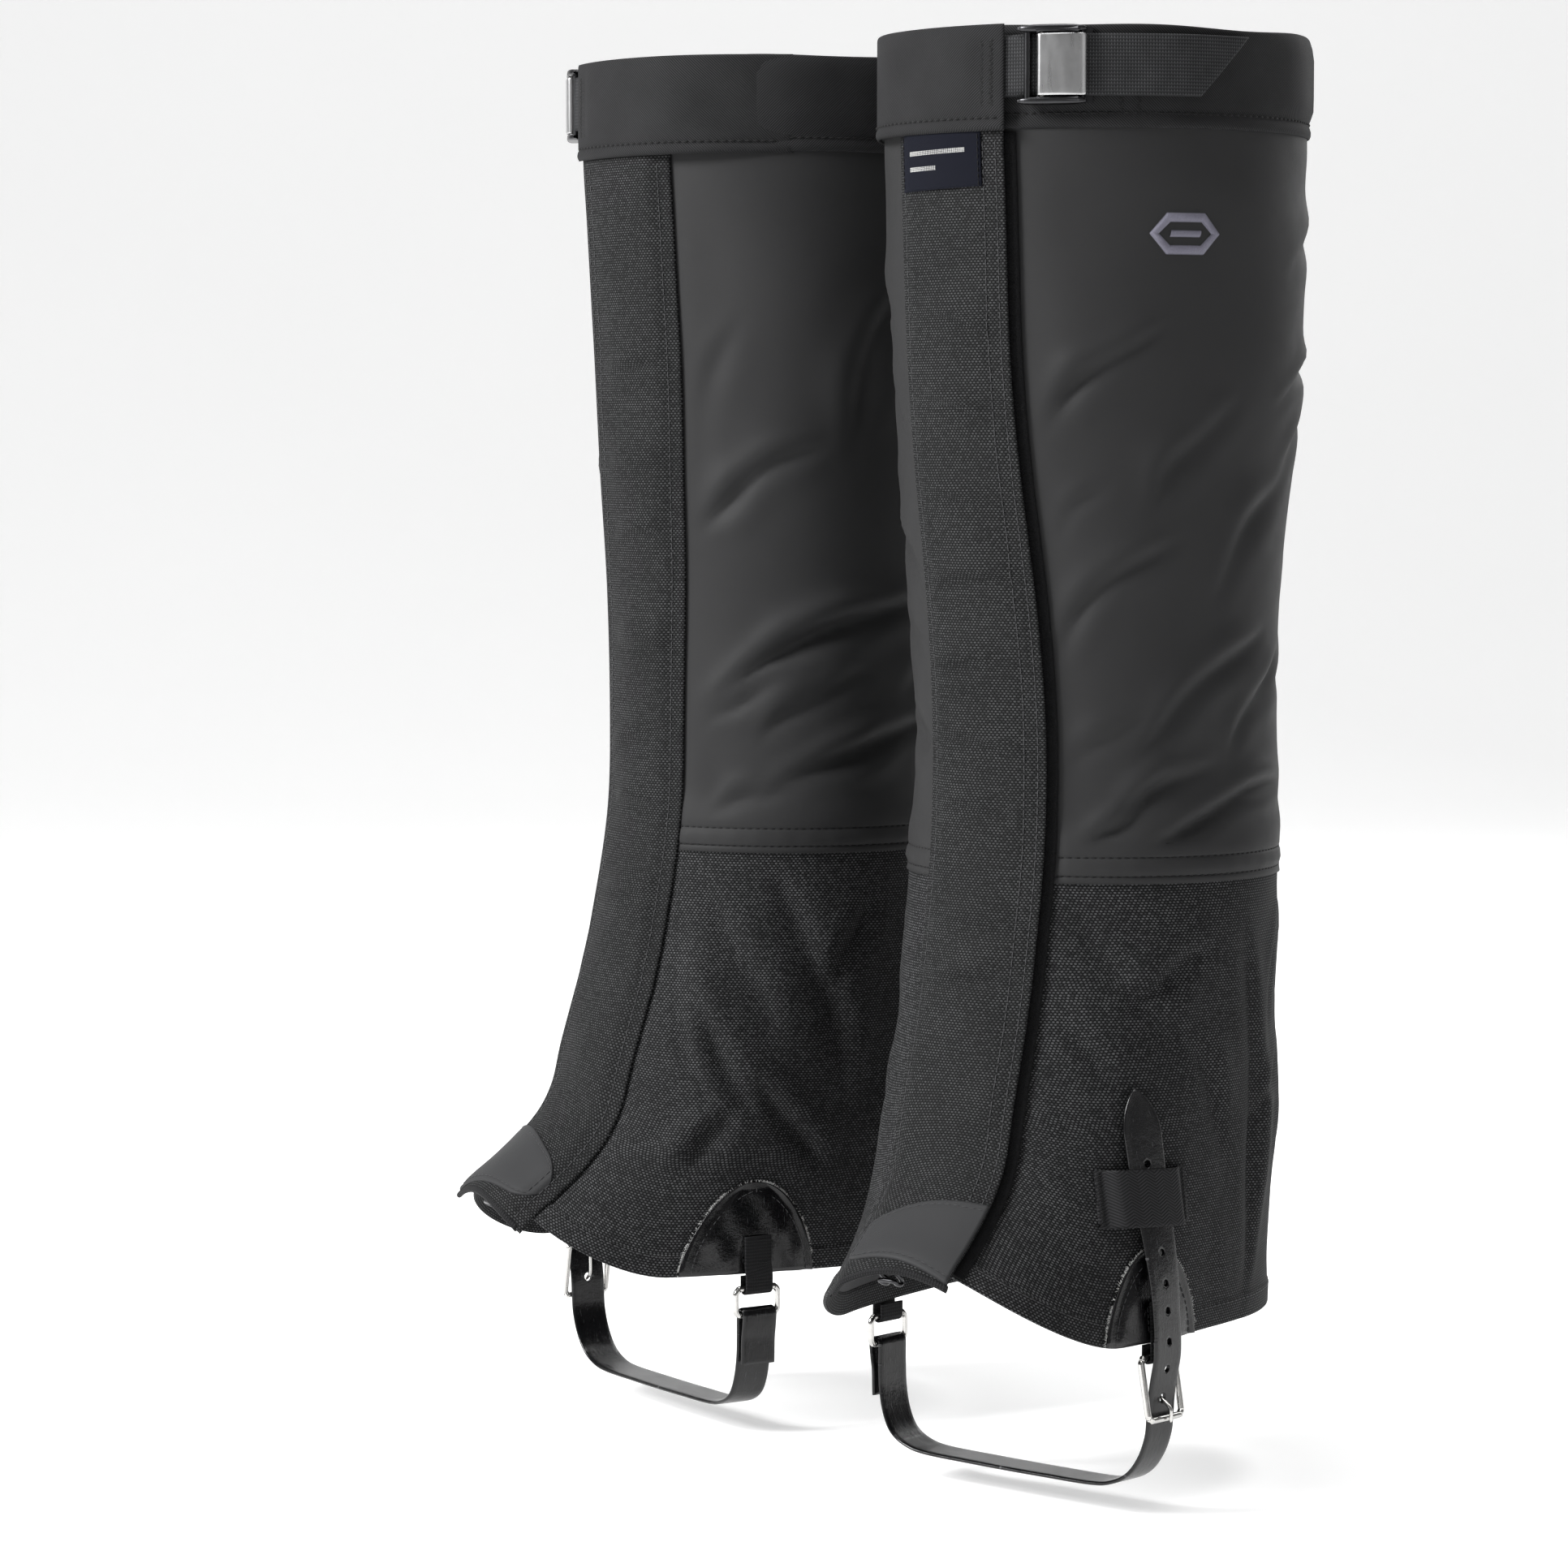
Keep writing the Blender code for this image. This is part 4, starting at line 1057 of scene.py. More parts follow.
def flap_lift(side, arc, h):
    """How far the flap's creases stand out from its flat shape."""
    total = np.zeros(np.broadcast(arc, h).shape)
    rng = np.random.RandomState(3 + side)
    for z in FLAP_CREASES[side]:
        middle = rng.uniform(-0.007, 0.004)
        half = rng.uniform(0.010, 0.016)
        tilt = rng.uniform(-0.10, 0.34)
        across = (h - z) + tilt * (arc - middle) + 8.0 * (arc - middle) ** 2
        taper = np.clip(1 - ((arc - middle) / (1.3 * half)) ** 2, 0, 1) ** 1.2
        w = rng.uniform(0.0021, 0.0031)
        crest = (across - 1.5 * w) / np.where(across < 1.5 * w, 1.15 * w, 2.1 * w)
        total += taper * (0.0023 * np.exp(-(crest**2))
                          + 0.0010 * bell(across + 1.9 * w, 1.3 * w)
                          - 0.00080 * bell(across, 0.8 * w))
    inside = ease((FLAP_HALF - 0.002 - np.abs(arc)) / 0.006)
    free = ease((0.452 - h) / 0.014) * ease((h - 0.098) / 0.02)
    total = total + 0.0006 * np.sin(h / 0.009 + side) * np.cos(arc / 0.011 + 0.4)
    return np.maximum(total, -0.0004) * inside * free


def flap_off(arc):
    """Offset of the flap's inner face: at the shell by the sewn edge, above the strips beyond."""
    rise = ease((arc + FLAP_HALF + 0.0015) / 0.0115)
    return FLAP_LOW_OFF + (FLAP_HIGH_OFF - FLAP_LOW_OFF) * rise


def flap_section():
    """The flap's closed section as (arc, thickness share), outer face first."""
    outer_end, inner_end = FLAP_HALF - 0.0006, -FLAP_HALF - 0.0012
    section = [(a, 1.0) for a in np.linspace(inner_end, outer_end, 40)]
    section += [(outer_end + 0.0006 * math.sin(a), 0.5 + 0.5 * math.cos(a))
                for a in np.linspace(0.4, math.pi - 0.4, 5)]
    section += [(a, 0.0) for a in np.linspace(outer_end, inner_end, 40)]
    return np.array(section + [(-FLAP_HALF - 0.0016, 0.5)]), range(42, 85)


def build_flap(side):
    section, inner_columns = flap_section()
    rows = marks(FLAP_END_Z, 0.4870, 0.0016)
    h, arc = grid(rows, section[:, 0])
    stitch_arcs = (-0.0215, FLAP_HALF - 0.0075, FLAP_HALF - 0.0028)
    groove = 0.0
    for at in stitch_arcs:
        groove = groove - 0.00022 * bell(arc - at, 0.0008)
    inner = flap_off(arc) + flap_lift(side, arc, h)
    middle = inner + FLAP_THICK / 2
    off = inner + section[:, 1] * (FLAP_THICK + groove)
    end = ease((h - FLAP_END_Z + 0.0012) / 0.0026)
    off = middle + (off - middle) * np.maximum(end, 0.35)
    points = skin(angle_at_arc(arc, h), h, off)
    uv = (closed(section[:, 0]), run_along(points[:, 20])[:, None])
    flap = loft(side, "flap_cloth", points, uv, [FLAP, LINING], inner_columns)
    attach(flap, side, None, "coarse_nylon", "front_flap")

    # Stitches down the flap.
    parts = []
    rows = np.linspace(0.058, 0.481, 400)
    for at in stitch_arcs:
        arc = np.full_like(rows, at)
        off = flap_off(at) + flap_lift(side, arc, rows) + 0.0012
        parts.append(seam(side, angle_at_arc(arc, rows), rows, off, 0.0031, 0.0026, 0.00026))
    sew(side, "flap_stitches", parts, THREAD_GREY)

    build_flap_cuff(side)
    build_toe(side)
    build_strips(side)
    if side > 0:
        build_label(side)


def build_flap_cuff(side):
    thick = 0.0013
    half = thick / 2
    low, high = 0.4840, TOP_Z + 0.0005
    start, near, gain, mid_h = -0.074, 0.0005, 0.0048, 0.50
    arcs = np.concatenate([np.linspace(start, 0.0246, 80), [0.0252, 0.0257, 0.0260]])
    full = np.ones(len(arcs))
    full[-3:] = (0.9, 0.65, 0.25)
    full[0] = 0.3
    zs = np.linspace(low + 0.0045, high - 0.0012, 12)
    section = [(half + 0.0003, low + 0.0010), (half + 0.0005, low + 0.0018),
               (half + 0.0003, low + 0.0031), (half - 0.0002, low + 0.0039)]
    section += [(half, z) for z in zs]
    section += [(half * math.cos(a), high - 0.0012 + 0.0012 * math.sin(a))
                for a in np.linspace(0.4, 2.74, 5)]
    section += [(-half, z) for z in zs[::-1]]
    section += [(-half, low + 0.0035), (-half, low + 0.0012), (-half * 0.5, low + 0.0002),
                (half * 0.5, low)]
    section = np.array(section)
    arc, h = grid(arcs, section[:, 1])
    rise = ease((arc - start) / 0.050)
    off = near + gain * rise + half + section[:, 0] * full[:, None]
    ripple = (0.5 + 0.5 * np.sin(arc / 0.006)) * ease((0.020 - arc) / 0.008) * rise
    off = off + 0.0010 * cuff_middle(h) * ripple
    loops = skin(angle_at_arc(arc, np.full_like(arc, mid_h)), h, off)
    uv = (arcs[:, None], run_along(closed(section)))
    cuff = loft(side, "flap_cuff_cloth", loops, uv, [CUFF])
    attach(cuff, side, None, "cuff_twill", "flap_cuff")

    line = np.linspace(-0.068, 0.0240, 110)
    off = near + gain * ease((line - start) / 0.050) + thick + 0.00015
    a = angle_at_arc(line, np.full_like(line, mid_h))
    parts = [seam(side, a, low + 0.0045, off, 0.0030, 0.0024, 0.00032)]
    tack = np.linspace(0.4925, 0.5150, 40)
    for at in (0.0180, 0.0215):
        spot = np.full_like(tack, angle_at_arc(at, mid_h))
        parts.append(seam(side, spot, tack, 0.0066, 0.0008, 0.0024, 0.00024, 1.25, True))
    sew(side, "flap_cuff_stitches", parts, THREAD_DARK)


def toe_place(s, t):
    """Arc and height on the toe patch: s runs from its inner end to the flap's outer edge, t up
    it. The inner corners are rounded."""
    near = np.clip(1 - s / 0.20, 0, 1)
    inset = 0.42 * (1 - np.sqrt(1 - near**2))
    t = inset + t * (1 - 2 * inset)
    low = FLAP_END_Z + 0.0025 + 0.0085 * (1 - s)
    high = 0.083 + 0.012 * s
    return 0.0035 - FLAP_HALF + (2 * FLAP_HALF - 0.0037) * s, low + (high - low) * t


def build_toe(side):
    s_rows = np.concatenate([[0.0, 0.004, 0.012, 0.025, 0.045, 0.07, 0.1, 0.14, 0.18],
                             np.linspace(0.21, 1.0, 34)])
    t_rows = np.concatenate([[0.0, 0.02, 0.045, 0.075, 0.11], np.linspace(0.15, 0.85, 14),
                             [0.89, 0.925, 0.955, 0.98, 1.0]])
    t_grid, s_grid = grid(t_rows, s_rows)
    border = np.minimum(np.minimum(t_grid, 1 - t_grid) * 0.036, s_grid * 0.046)
    body = 0.0008 * ease(border / 0.0012) - 0.00030 * bell(border - 0.0030, 0.0008)

    def on_toe(s, t, extra):
        arc, h = toe_place(s, t)
        return angle_at_arc(arc, h), h, flap_off(arc) + flap_lift(side, arc, h) + extra

    top = skin(*on_toe(s_grid, t_grid, 0.00122 + body))
    attach(surface(side, "toe_cloth", top, [TOE], 0.0005, -1.0), side, None, "toe_patch_fabric",
           "toe_patch")

    # Stitch line inside its border.
    k = np.linspace(0, 1, 40)
    path_s = np.concatenate([0.99 - 0.92 * k, np.full(20, 0.07), 0.07 + 0.92 * k])
    path_t = np.concatenate([np.full(40, 0.915), np.linspace(0.915, 0.085, 20), np.full(40, 0.085)])
    line = seam(side, *on_toe(path_s, path_t, 0.0019), 0.0030, 0.0024, 0.00018)
    sew(side, "toe_stitches", [line], THREAD_GREY)

    # Bound end of the flap: a folded tape round its lower edge.
    arcs = np.linspace(-FLAP_HALF + 0.001, FLAP_HALF + 0.0004, 60)
    turns = np.linspace(0, 2 * math.pi, 14)[:-1]
    arc, h = grid(arcs, 0.0551 + 0.0020 * np.sin(turns))
    off = flap_off(arc) + 0.0003 + 0.0011 * np.cos(turns)
    uv = (arcs[:, None], np.linspace(0, 0.009, len(turns) + 1))
    binding = loft(side, "toe_binding", skin(angle_at_arc(arc, h), h, off), uv, [WEB_BLACK])
    attach(binding, side, None, "webbing_black")


def build_strips(side):
    rng = np.random.RandomState(50 + side)
    rows = marks(HEM_Z + 0.0005, 0.4835, 0.0022)
    for name, node, low, high, off, thick, body in (
            ("loop_tape", "loop_strip", -0.003, FLAP_HALF + 0.0034, 0.00125, 0.0010, "gaiter"),
            ("hook_tape_cloth", "hook_strip", 0.001, FLAP_HALF - 0.002, 0.0026, 0.0007, "flap")):
        h, arc = grid(rows, np.linspace(low, high, 24))
        rough = rng.uniform(-0.00008, 0.00008, arc.shape)
        points = skin(angle_at_arc(arc, h), h, off + rough)
        attach(surface(side, name, points, [PILE], thick), side, body, "hook_tape", node)

    # Pile along the loop strip's open edge, denser where the flap doesn't cover it.
    count = 3600
    open_arc = 0.0225
    hs = rng.uniform(HEM_Z + 0.001, 0.483, count)
    arcs = np.where(rng.uniform(size=count) < 0.75, rng.uniform(open_arc, 0.0286, count),
                    rng.uniform(0.000, open_arc, count))
    a = angle_at_arc(arcs, hs)
    p, n = raised(side, a, hs, 0.0020)
    t = unit(world(side, skin(a, hs + 0.0005, 0.0020)) - p)
    size = np.where(arcs > open_arc, 0.0011, 0.0006)[:, None]
    fuzz = join_parts(side, "loop_pile", [hairs(p, n, t, size, 0.00007, rng, 0.9)], PILE)
    attach(fuzz, side, "gaiter", "hook_tape")


def build_label(side):
    rows = np.linspace(0.4655, 0.4860, 22)[:, None]
    c = np.linspace(0, 1, 30)[None, :]
    arc = -0.0208 + 0.0378 * c + np.zeros_like(rows)
    h = rows - 0.0012 * (1 - c) * ease((0.4830 - rows) / 0.02)
    off = flap_off(arc) + 0.0013 + 0.0003 * np.sin(c * math.pi)
    label = surface(side, "label_cloth", skin(angle_at_arc(arc, h), h, off), [LABEL], 0.0005)
    attach(label, side, None, "label_weave", "label")

    # Plain woven marks: a long bar and a short one, and dark stitches down both ends.
    def row_of(arc0, arc1, z0, z1, pitch, length):
        k = np.linspace(0, 1, 60)
        arc, h = arc0 + (arc1 - arc0) * k, z0 + (z1 - z0) * k
        return seam(side, angle_at_arc(arc, h), h, flap_off(arc) + 0.00205, pitch, length, 0.00018)

    pale = [row_of(-0.0145, end, z - 0.0006, z - drop, 0.0009, 0.0009)
            for first, end, drop in ((0.4776, 0.0110, 0.0), (0.4722, -0.0015, 0.0003))
            for z in np.arange(first, first + 0.0015, 0.00040)]
    sew(side, "label_marks", pale, THREAD_PALE)
    dark = [row_of(at, at, 0.4655, 0.4835, 0.0022, 0.0018) for at in (-0.0197, 0.0160)]
    sew(side, "label_stitches", dark, THREAD_DARK)


def build_seams(side):
    """Stitch rows on the shell and the cuff."""
    def around(row, count, off, pitch, length, radius):
        angle = shell_angles(np.array([row]), count)[0]
        h = np.full_like(angle, row)
        return seam(side, angle, h, off(side, angle, h), pitch, length, radius)

    parts = [around(row, 500, lambda *at: upper_outer(*at) + 0.00005, 0.0029, 0.0025, 0.00032)
             for row in SEAM_ROWS]
    parts.append(around(0.4897, 400, lambda *at: 0.00165 + cuff_swell(*at), 0.0030, 0.0024,
                        0.00034))
    tack = np.linspace(0.4905, 0.4995, 20)
    for degrees in (38.0, 42.5):
        spot = np.full_like(tack, math.radians(degrees))
        parts.append(seam(side, spot, tack, 0.0017, 0.0007, 0.0018, 0.00018, 1.25, True))
    sew(side, "seam_stitches", parts, THREAD_DARK, "gaiter")

    rows = np.linspace(0.066, 0.219, 180)
    a = angle_at_arc(np.full_like(rows, -0.0288), rows)
    hem = [around(0.0705, 500, lambda *at: lower_shape(*at) + 0.0013, 0.0029, 0.0024, 0.00020),
           seam(side, a, rows, lower_outer(side, a, rows), 0.0030, 0.0025, 0.00019)]
    sew(side, "hem_stitches", hem, THREAD_GREY, "gaiter")


def build_badge(side):
    """A plain embroidered motif: an outlined long hexagon with a bar, in satin stitch."""
    centre_angle, centre_z, radius = math.radians(56.0), 0.4485, 0.0745
    k = np.array([0.0, 0.25, 0.5, 0.75, 1.0])

    def outline(half_u, half_v, cut):
        flat = half_u - cut
        return np.array([(-flat, -half_v), (flat, -half_v), (half_u, 0.0), (flat, half_v),
                         (-flat, half_v), (-half_u, 0.0)])

    def strand(start, end, height):
        u, v = (start[:, None] + (end - start)[:, None] * k)
        a, h = centre_angle + u / radius, centre_z + v
        rise = height * np.sin(math.pi * k) ** 0.6
        line = world(side, skin(a, h, upper_outer(side, a, h) + rise))
        return pipe(line, 0.00019 * np.array([0.4, 1.0, 1.0, 1.0, 0.4]), 5)

    parts = []
    outer, inner = outline(0.0132, 0.0072, 0.0062), outline(0.0098, 0.0040, 0.0040)
    for a0, a1, c0, c1 in zip(outer, np.roll(outer, -1, 0), inner, np.roll(inner, -1, 0)):
        count = max(4, int(math.hypot(*(a1 - a0)) / 0.00030))
        for t in (np.arange(count) + 0.5) / count:
            parts.append(strand(a0 + (a1 - a0) * t, c0 + (c1 - c0) * t, 0.0006))
    for j in range(36):
        u = -0.0054 + 0.0108 * j / 35
        start, end = np.array([u - 0.0003, -0.0012]), np.array([u + 0.0003, 0.0012])
        parts.append(strand(start, end, 0.0005))
    attach(join_parts(side, "badge_threads", parts, THREAD_BADGE), side, "gaiter", "badge_thread",
           "badge")


# ================================================================ cinch
def build_cinch(side):
    # The webbing; its free end is cut at a slant.
    half = WEB_WIDTH / 2
    share = np.linspace(0, 1, 150)[:, None]
    across = np.linspace(0.0, 1.0, 14)
    section = [(v, 1.0) for v in across] + [(1.004, 0.75), (1.008, 0.5), (1.004, 0.25)]
    section += [(v, 0.0) for v in across[::-1]] + [(-0.004, 0.25), (-0.008, 0.5), (-0.004, 0.75)]
    v, level = np.array(section).T
    straight = WEB_END_BOTTOM - math.radians(8.0)
    end = WEB_END_BOTTOM + (WEB_END_TOP - WEB_END_BOTTOM) * v
    angle = np.where(share < 0.75, WEB_START + share / 0.75 * (straight - WEB_START),
                     straight + (share - 0.75) / 0.25 * (end - straight))
    h = CINCH_Z - half + v * WEB_WIDTH + np.zeros_like(share)
    thin = np.ones_like(share)
    thin[-2:, 0] = (0.85, 0.5)
    loose = 0.0009 * ease((angle - math.radians(38)) / 0.35) * (0.5 + 0.5 * np.sin(angle * 9))
    off = WEB_OFF + loose + WEB_THICK * (0.5 + (level - 0.5) * thin)
    web = loft(side, "cinch_web", skin(angle, h, off), web_uv(angle, h), [WEB_GREY])
    attach(web, side, "cinch_strap", "webbing_grey", "cinch_webbing")

    # Short tab of webbing that holds the buckle's frame, folded round its inner bar.
    angles = np.linspace(math.radians(2.0), math.radians(14.9), 26)
    across = np.linspace(0, 1, 10)
    a, v = grid(angles, np.concatenate([across, across[::-1]]))
    h = CINCH_Z - 0.0101 + 0.0202 * v
    bulge = 0.0009 * ease((a - angles[14]) / (angles[-1] - angles[14]))
    off = 0.0043 + bulge + 0.0009 * np.repeat((1.0, 0.0), 10)
    fold = loft(side, "cinch_anchor_web", skin(a, h, off), web_uv(a, h), [WEB_GREY])
    attach(fold, side, "gaiter", "webbing_grey")

    # Lever: a barrel round the pin and a crowned plate.
    centre = skin(BUCKLE_ANGLE, CINCH_Z, 0.0)
    out = np.array([math.sin(BUCKLE_ANGLE), -math.cos(BUCKLE_ANGLE), 0.0])
    along = np.array([math.cos(BUCKLE_ANGLE), math.sin(BUCKLE_ANGLE), 0.0])
    pin = centre + along * -0.0055 + out * 0.0063
    outline = [(0.0017 * math.cos(t), 0.0017 * math.sin(t))
               for t in np.radians(np.linspace(285.0, 85.0, 18))]
    outline += [(0.0020, 0.00195), (0.0045, 0.00215), (0.0075, 0.00205), (0.0110, 0.0016),
                (0.0140, 0.0009), (0.0150, 0.0005), (0.01545, 0.0001), (0.0154, -0.0005),
                (0.0150, -0.0008), (0.0140, -0.0005), (0.0110, 0.0001), (0.0075, 0.0005),
                (0.0045, 0.0006), (0.0024, 0.0001)]
    outline = np.array(outline)
    x = outline[:, 0]
    top = CHEEK_HALF - 0.0003
    edge = top - np.array([0.0, 0.0001, 0.0004])
    zs = np.concatenate([-edge, np.linspace(-top + 0.0009, top - 0.0009, 9), edge[::-1]])
    rounding = [0.72, 0.88, 0.97]
    middle = np.stack([x, np.where(x < 0.002, 0.0, 0.0005)], 1)
    loops = []
    for z, f in zip(zs, rounding + [1.0] * 9 + rounding[::-1]):
        spot = middle + (outline - middle) * f
        spot[:, 0] = np.where(x > 0.0146, x - (1 - f) * 0.003, spot[:, 0])
        loops.append(pin + along * spot[:, :1] + out * spot[:, 1:] + UP * z)
    uv = (np.linspace(0, 0.04, len(outline) + 1), zs[:, None])
    lever = loft(side, "lever_plate", np.array(loops), uv, [LEVER])
    attach(lever, side, "lever", "lever_grey", "cinch_lever")

    # Frame: two rounded ears, and the bars that the webbing folds round.
    def squared(values, power=0.6):
        return np.sign(values) * np.abs(values) ** power

    parts = []
    turn = np.radians(np.arange(24) * 15.0 + 7.5)
    ear_middle, ear_half = -0.0022, 0.0120
    for sign in (-1, 1):
        rings = []
        for u in ear_middle + ear_half * np.sin(np.linspace(-math.pi / 2, math.pi / 2, 19)):
            f = max(0.05, 1.0 - abs((u - ear_middle) / ear_half) ** 3.2)
            n_at = 0.0051 + 0.0029 * f**0.5 * squared(np.cos(turn))
            z_at = sign * 0.01235 + 0.00145 * f**0.35 * squared(np.sin(turn))
            rings.append(centre + along * u + out * n_at[:, None] + UP * z_at[:, None])
        faces, _, _ = grid_faces(len(rings), len(turn), True)
        parts.append((world(side, np.array(rings)), faces))
    for u, n, r in ((-0.0108, 0.0046, 0.0013), (0.0080, 0.0030, 0.0009)):
        rod = centre + along * u + out * n + UP * np.linspace(-0.0118, 0.0118, 8)[:, None]
        parts.append(pipe(world(side, rod), r))
    attach(join_parts(side, "cinch_frame", parts, DARK_METAL), side, "gaiter", "buckle_dark")

    # The CAD's own base plate and pin are kept, with softened edges.
    for node, mat, width in (("cinch_base", DARK_METAL, 0.0004), ("cinch_pin", STEEL, 0.0002)):
        obj = frame["nodes"][NAMES[side] + node]
        for slot in obj.material_slots:
            slot.material = mat
        bevel = obj.modifiers.new("Edges", "BEVEL")
        bevel.width = width
        bevel.segments = 3
        bevel.limit_method = "ANGLE"
        bevel.harden_normals = False


def web_uv(angle, h):
    """UV of webbing laid round the cuff, from a closed section's angles and heights."""
    return closed(angle.T * WEB_RADIUS).T, closed(h.T).T


# ================================================================ instep strap
def tail_off(h):
    """Offset of the strap's tail from the shell, nearer to it towards the tip."""
    return 0.0030 + 0.0017 * ease((0.125 - h) / 0.045)


def arc_points(foot, out, middle, radius, degrees):
    """Points on an arc in the plane of out and up, round a point given as (outward, height)."""
    n, z = middle
    return [foot + out * (n + radius * math.cos(t)) + UP * (z + radius * math.sin(t))
            for t in np.radians(degrees)]


def strap_line():
    """Leg-frame centre line of the whole strap from its tip to its end at the inner ring."""
    outer, inner, along, across = strap_axes()
    hs = np.concatenate([[TAIL_TOP_Z + 0.0015], np.arange(145, 72, -8) / 1000.0])
    angle = angle_at_y(OUTER_STRAP_Y, hs)
    upper = skin(angle, hs, tail_off(hs) + STRAP_THICK / 2)
    sideways = unit((skin(angle + 0.01, hs, 0.0) - skin(angle - 0.01, hs, 0.0)) * (1, 1, 0))
    below = [(0.0056, 0.0655), (0.0055, 0.0580), (0.0042, 0.0510), (0.0029, 0.0432),
             (0.0024, 0.0365), (0.0016, 0.0300), (-0.0014, 0.0225), (-0.0065, 0.0160),
             (-0.0135, 0.0122), (-0.0230, STRAP_BOTTOM_Z)]
    lower = [outer + along * n + UP * z for n, z in below]
    width = np.linalg.norm((outer - inner)[:2])
    for share in (0.3, 0.5, 0.7):
        inset = 0.0230 + (width - 0.0460) * share
        sag = 0.0004 * math.sin(share * math.pi)
        lower.append(outer - along * inset + UP * (STRAP_BOTTOM_Z - sag))
    up_to_ring = [(0.0230, STRAP_BOTTOM_Z), (0.0135, 0.0122), (0.0070, 0.0160), (0.0034, 0.0225),
                  (0.0016, 0.0310), (0.0012, 0.0400)]
    lower += [inner + along * n + UP * z for n, z in up_to_ring]
    lower += arc_points(inner, along, (-BAR_N, RING_LOW_Z), 0.0022, (0, 45, 90, 135, 180))
    back_down = [(-0.0026, 0.0420), (-0.0020, 0.0380), (-0.0018, 0.0310), (-0.0017, 0.0285)]
    lower += [inner + along * n + UP * z for n, z in back_down]
    points = np.concatenate([upper, np.array(lower)])
    return points, np.concatenate([sideways, np.repeat(across[None], len(lower), 0)])


def strip_body(side, name, points, sideways, half_width, thick, mat, spacing=0.0012):
    """A flat strap with rounded edges along a line; half_width(run) may taper it."""
    both = catmull(np.concatenate([points, sideways * 0.01], 1), spacing)
    line, sway = both[:, :3], unit(both[:, 3:])
    tangent = unit(np.gradient(line, axis=0))
    sway = unit(sway - tangent * np.sum(sway * tangent, 1, keepdims=True))
    outward = np.cross(tangent, sway)
    run = run_along(line)
    bead = thick * 0.5
    flat = np.maximum(half_width(run) - bead, 0.0002)[:, None]
    ring = [(x, 1.0, 0.0) for x in np.linspace(-1, 1, 9)]
    ring += [(1, 0.55, 0.75), (1, 0.0, 1.0), (1, -0.55, 0.75)]
    ring += [(x, -1.0, 0.0) for x in np.linspace(1, -1, 9)]
    ring += [(-1, -0.55, -0.75), (-1, 0.0, -1.0), (-1, 0.55, -0.75)]
    ring = np.array(ring)
    loops = [line + sway * (flat * x + extra * bead) + outward * lift * bead
             for x, lift, extra in ring]
    uv = (closed(ring[:, 0]) * 0.0075, run[:, None])
    return loft(side, name, np.stack(loops, 1), uv, [mat]), line, outward, run


def build_strap(side):
    def taper(run):
        f = np.clip(run / 0.0165, 0.0, 1.0)
        return STRAP_WIDTH / 2 * np.maximum(0.06, (f * (2 - f)) ** 0.75)

    points, sides = strap_line()
    strap, line, outward, run = strip_body(side, "strap_body", points, sides, taper, STRAP_THICK,
                                           STRAP)
    cutters = []
    tail = np.where(run < 0.125)[0]
    for k in range(9):
        z = FIRST_HOLE_Z + HOLE_PITCH * k
        if KEEPER_LOW_Z - 0.001 < z < KEEPER_HIGH_Z + 0.001:
            continue
        index = tail[np.argmin(np.abs(line[tail, 2] - z))]
        at = world(side, line[index])
        away = world(side, line[index] + outward[index]) - at
        radius = 0.0013 if k else 0.0017
        rod = cutter(lambda bm: bmesh.ops.create_cone(
            bm, cap_ends=True, segments=20, radius1=radius, radius2=radius, depth=0.006))
        aim(rod, at, away, "Z")
        cutters.append(rod)
    carve(strap, cutters)
    blend_strap(strap, side, 0.078, 0.0625)
    name_piece(strap, side, "strap_black", "instep_strap", "strap_tail")

    build_tabs(side)
    build_hardware(side)
    build_keeper(side)
    build_patch(side, "outer_patch", OUTER_STRAP_Y, False, 0.033)
    build_patch(side, "inner_patch", INNER_STRAP_Y, True, 0.035)


def blend_strap(obj, side, high, low):
    """Bakes the piece's placement into its mesh. The points at the heights high and low, between
    the gaiter above the hem and the loop below, are found but not used: the strap is not blended
    and does not swing with the loop.
    """
    start, end = (world(side, strap_axes()[0] + UP * z) for z in (high, low))
    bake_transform(obj)


def slot_cutter(at, along):
    """The box that opens the outer tab for the prong."""
    def build(bm):
        bmesh.ops.create_cube(bm, size=1.0)
        bmesh.ops.scale(bm, vec=(0.012, 0.0026, 0.0074), verts=bm.verts)

    slot = cutter(build)
    slot.location = Vector(at)
    slot.rotation_euler = (0, 0, math.atan2(along[1], along[0]))
    return slot


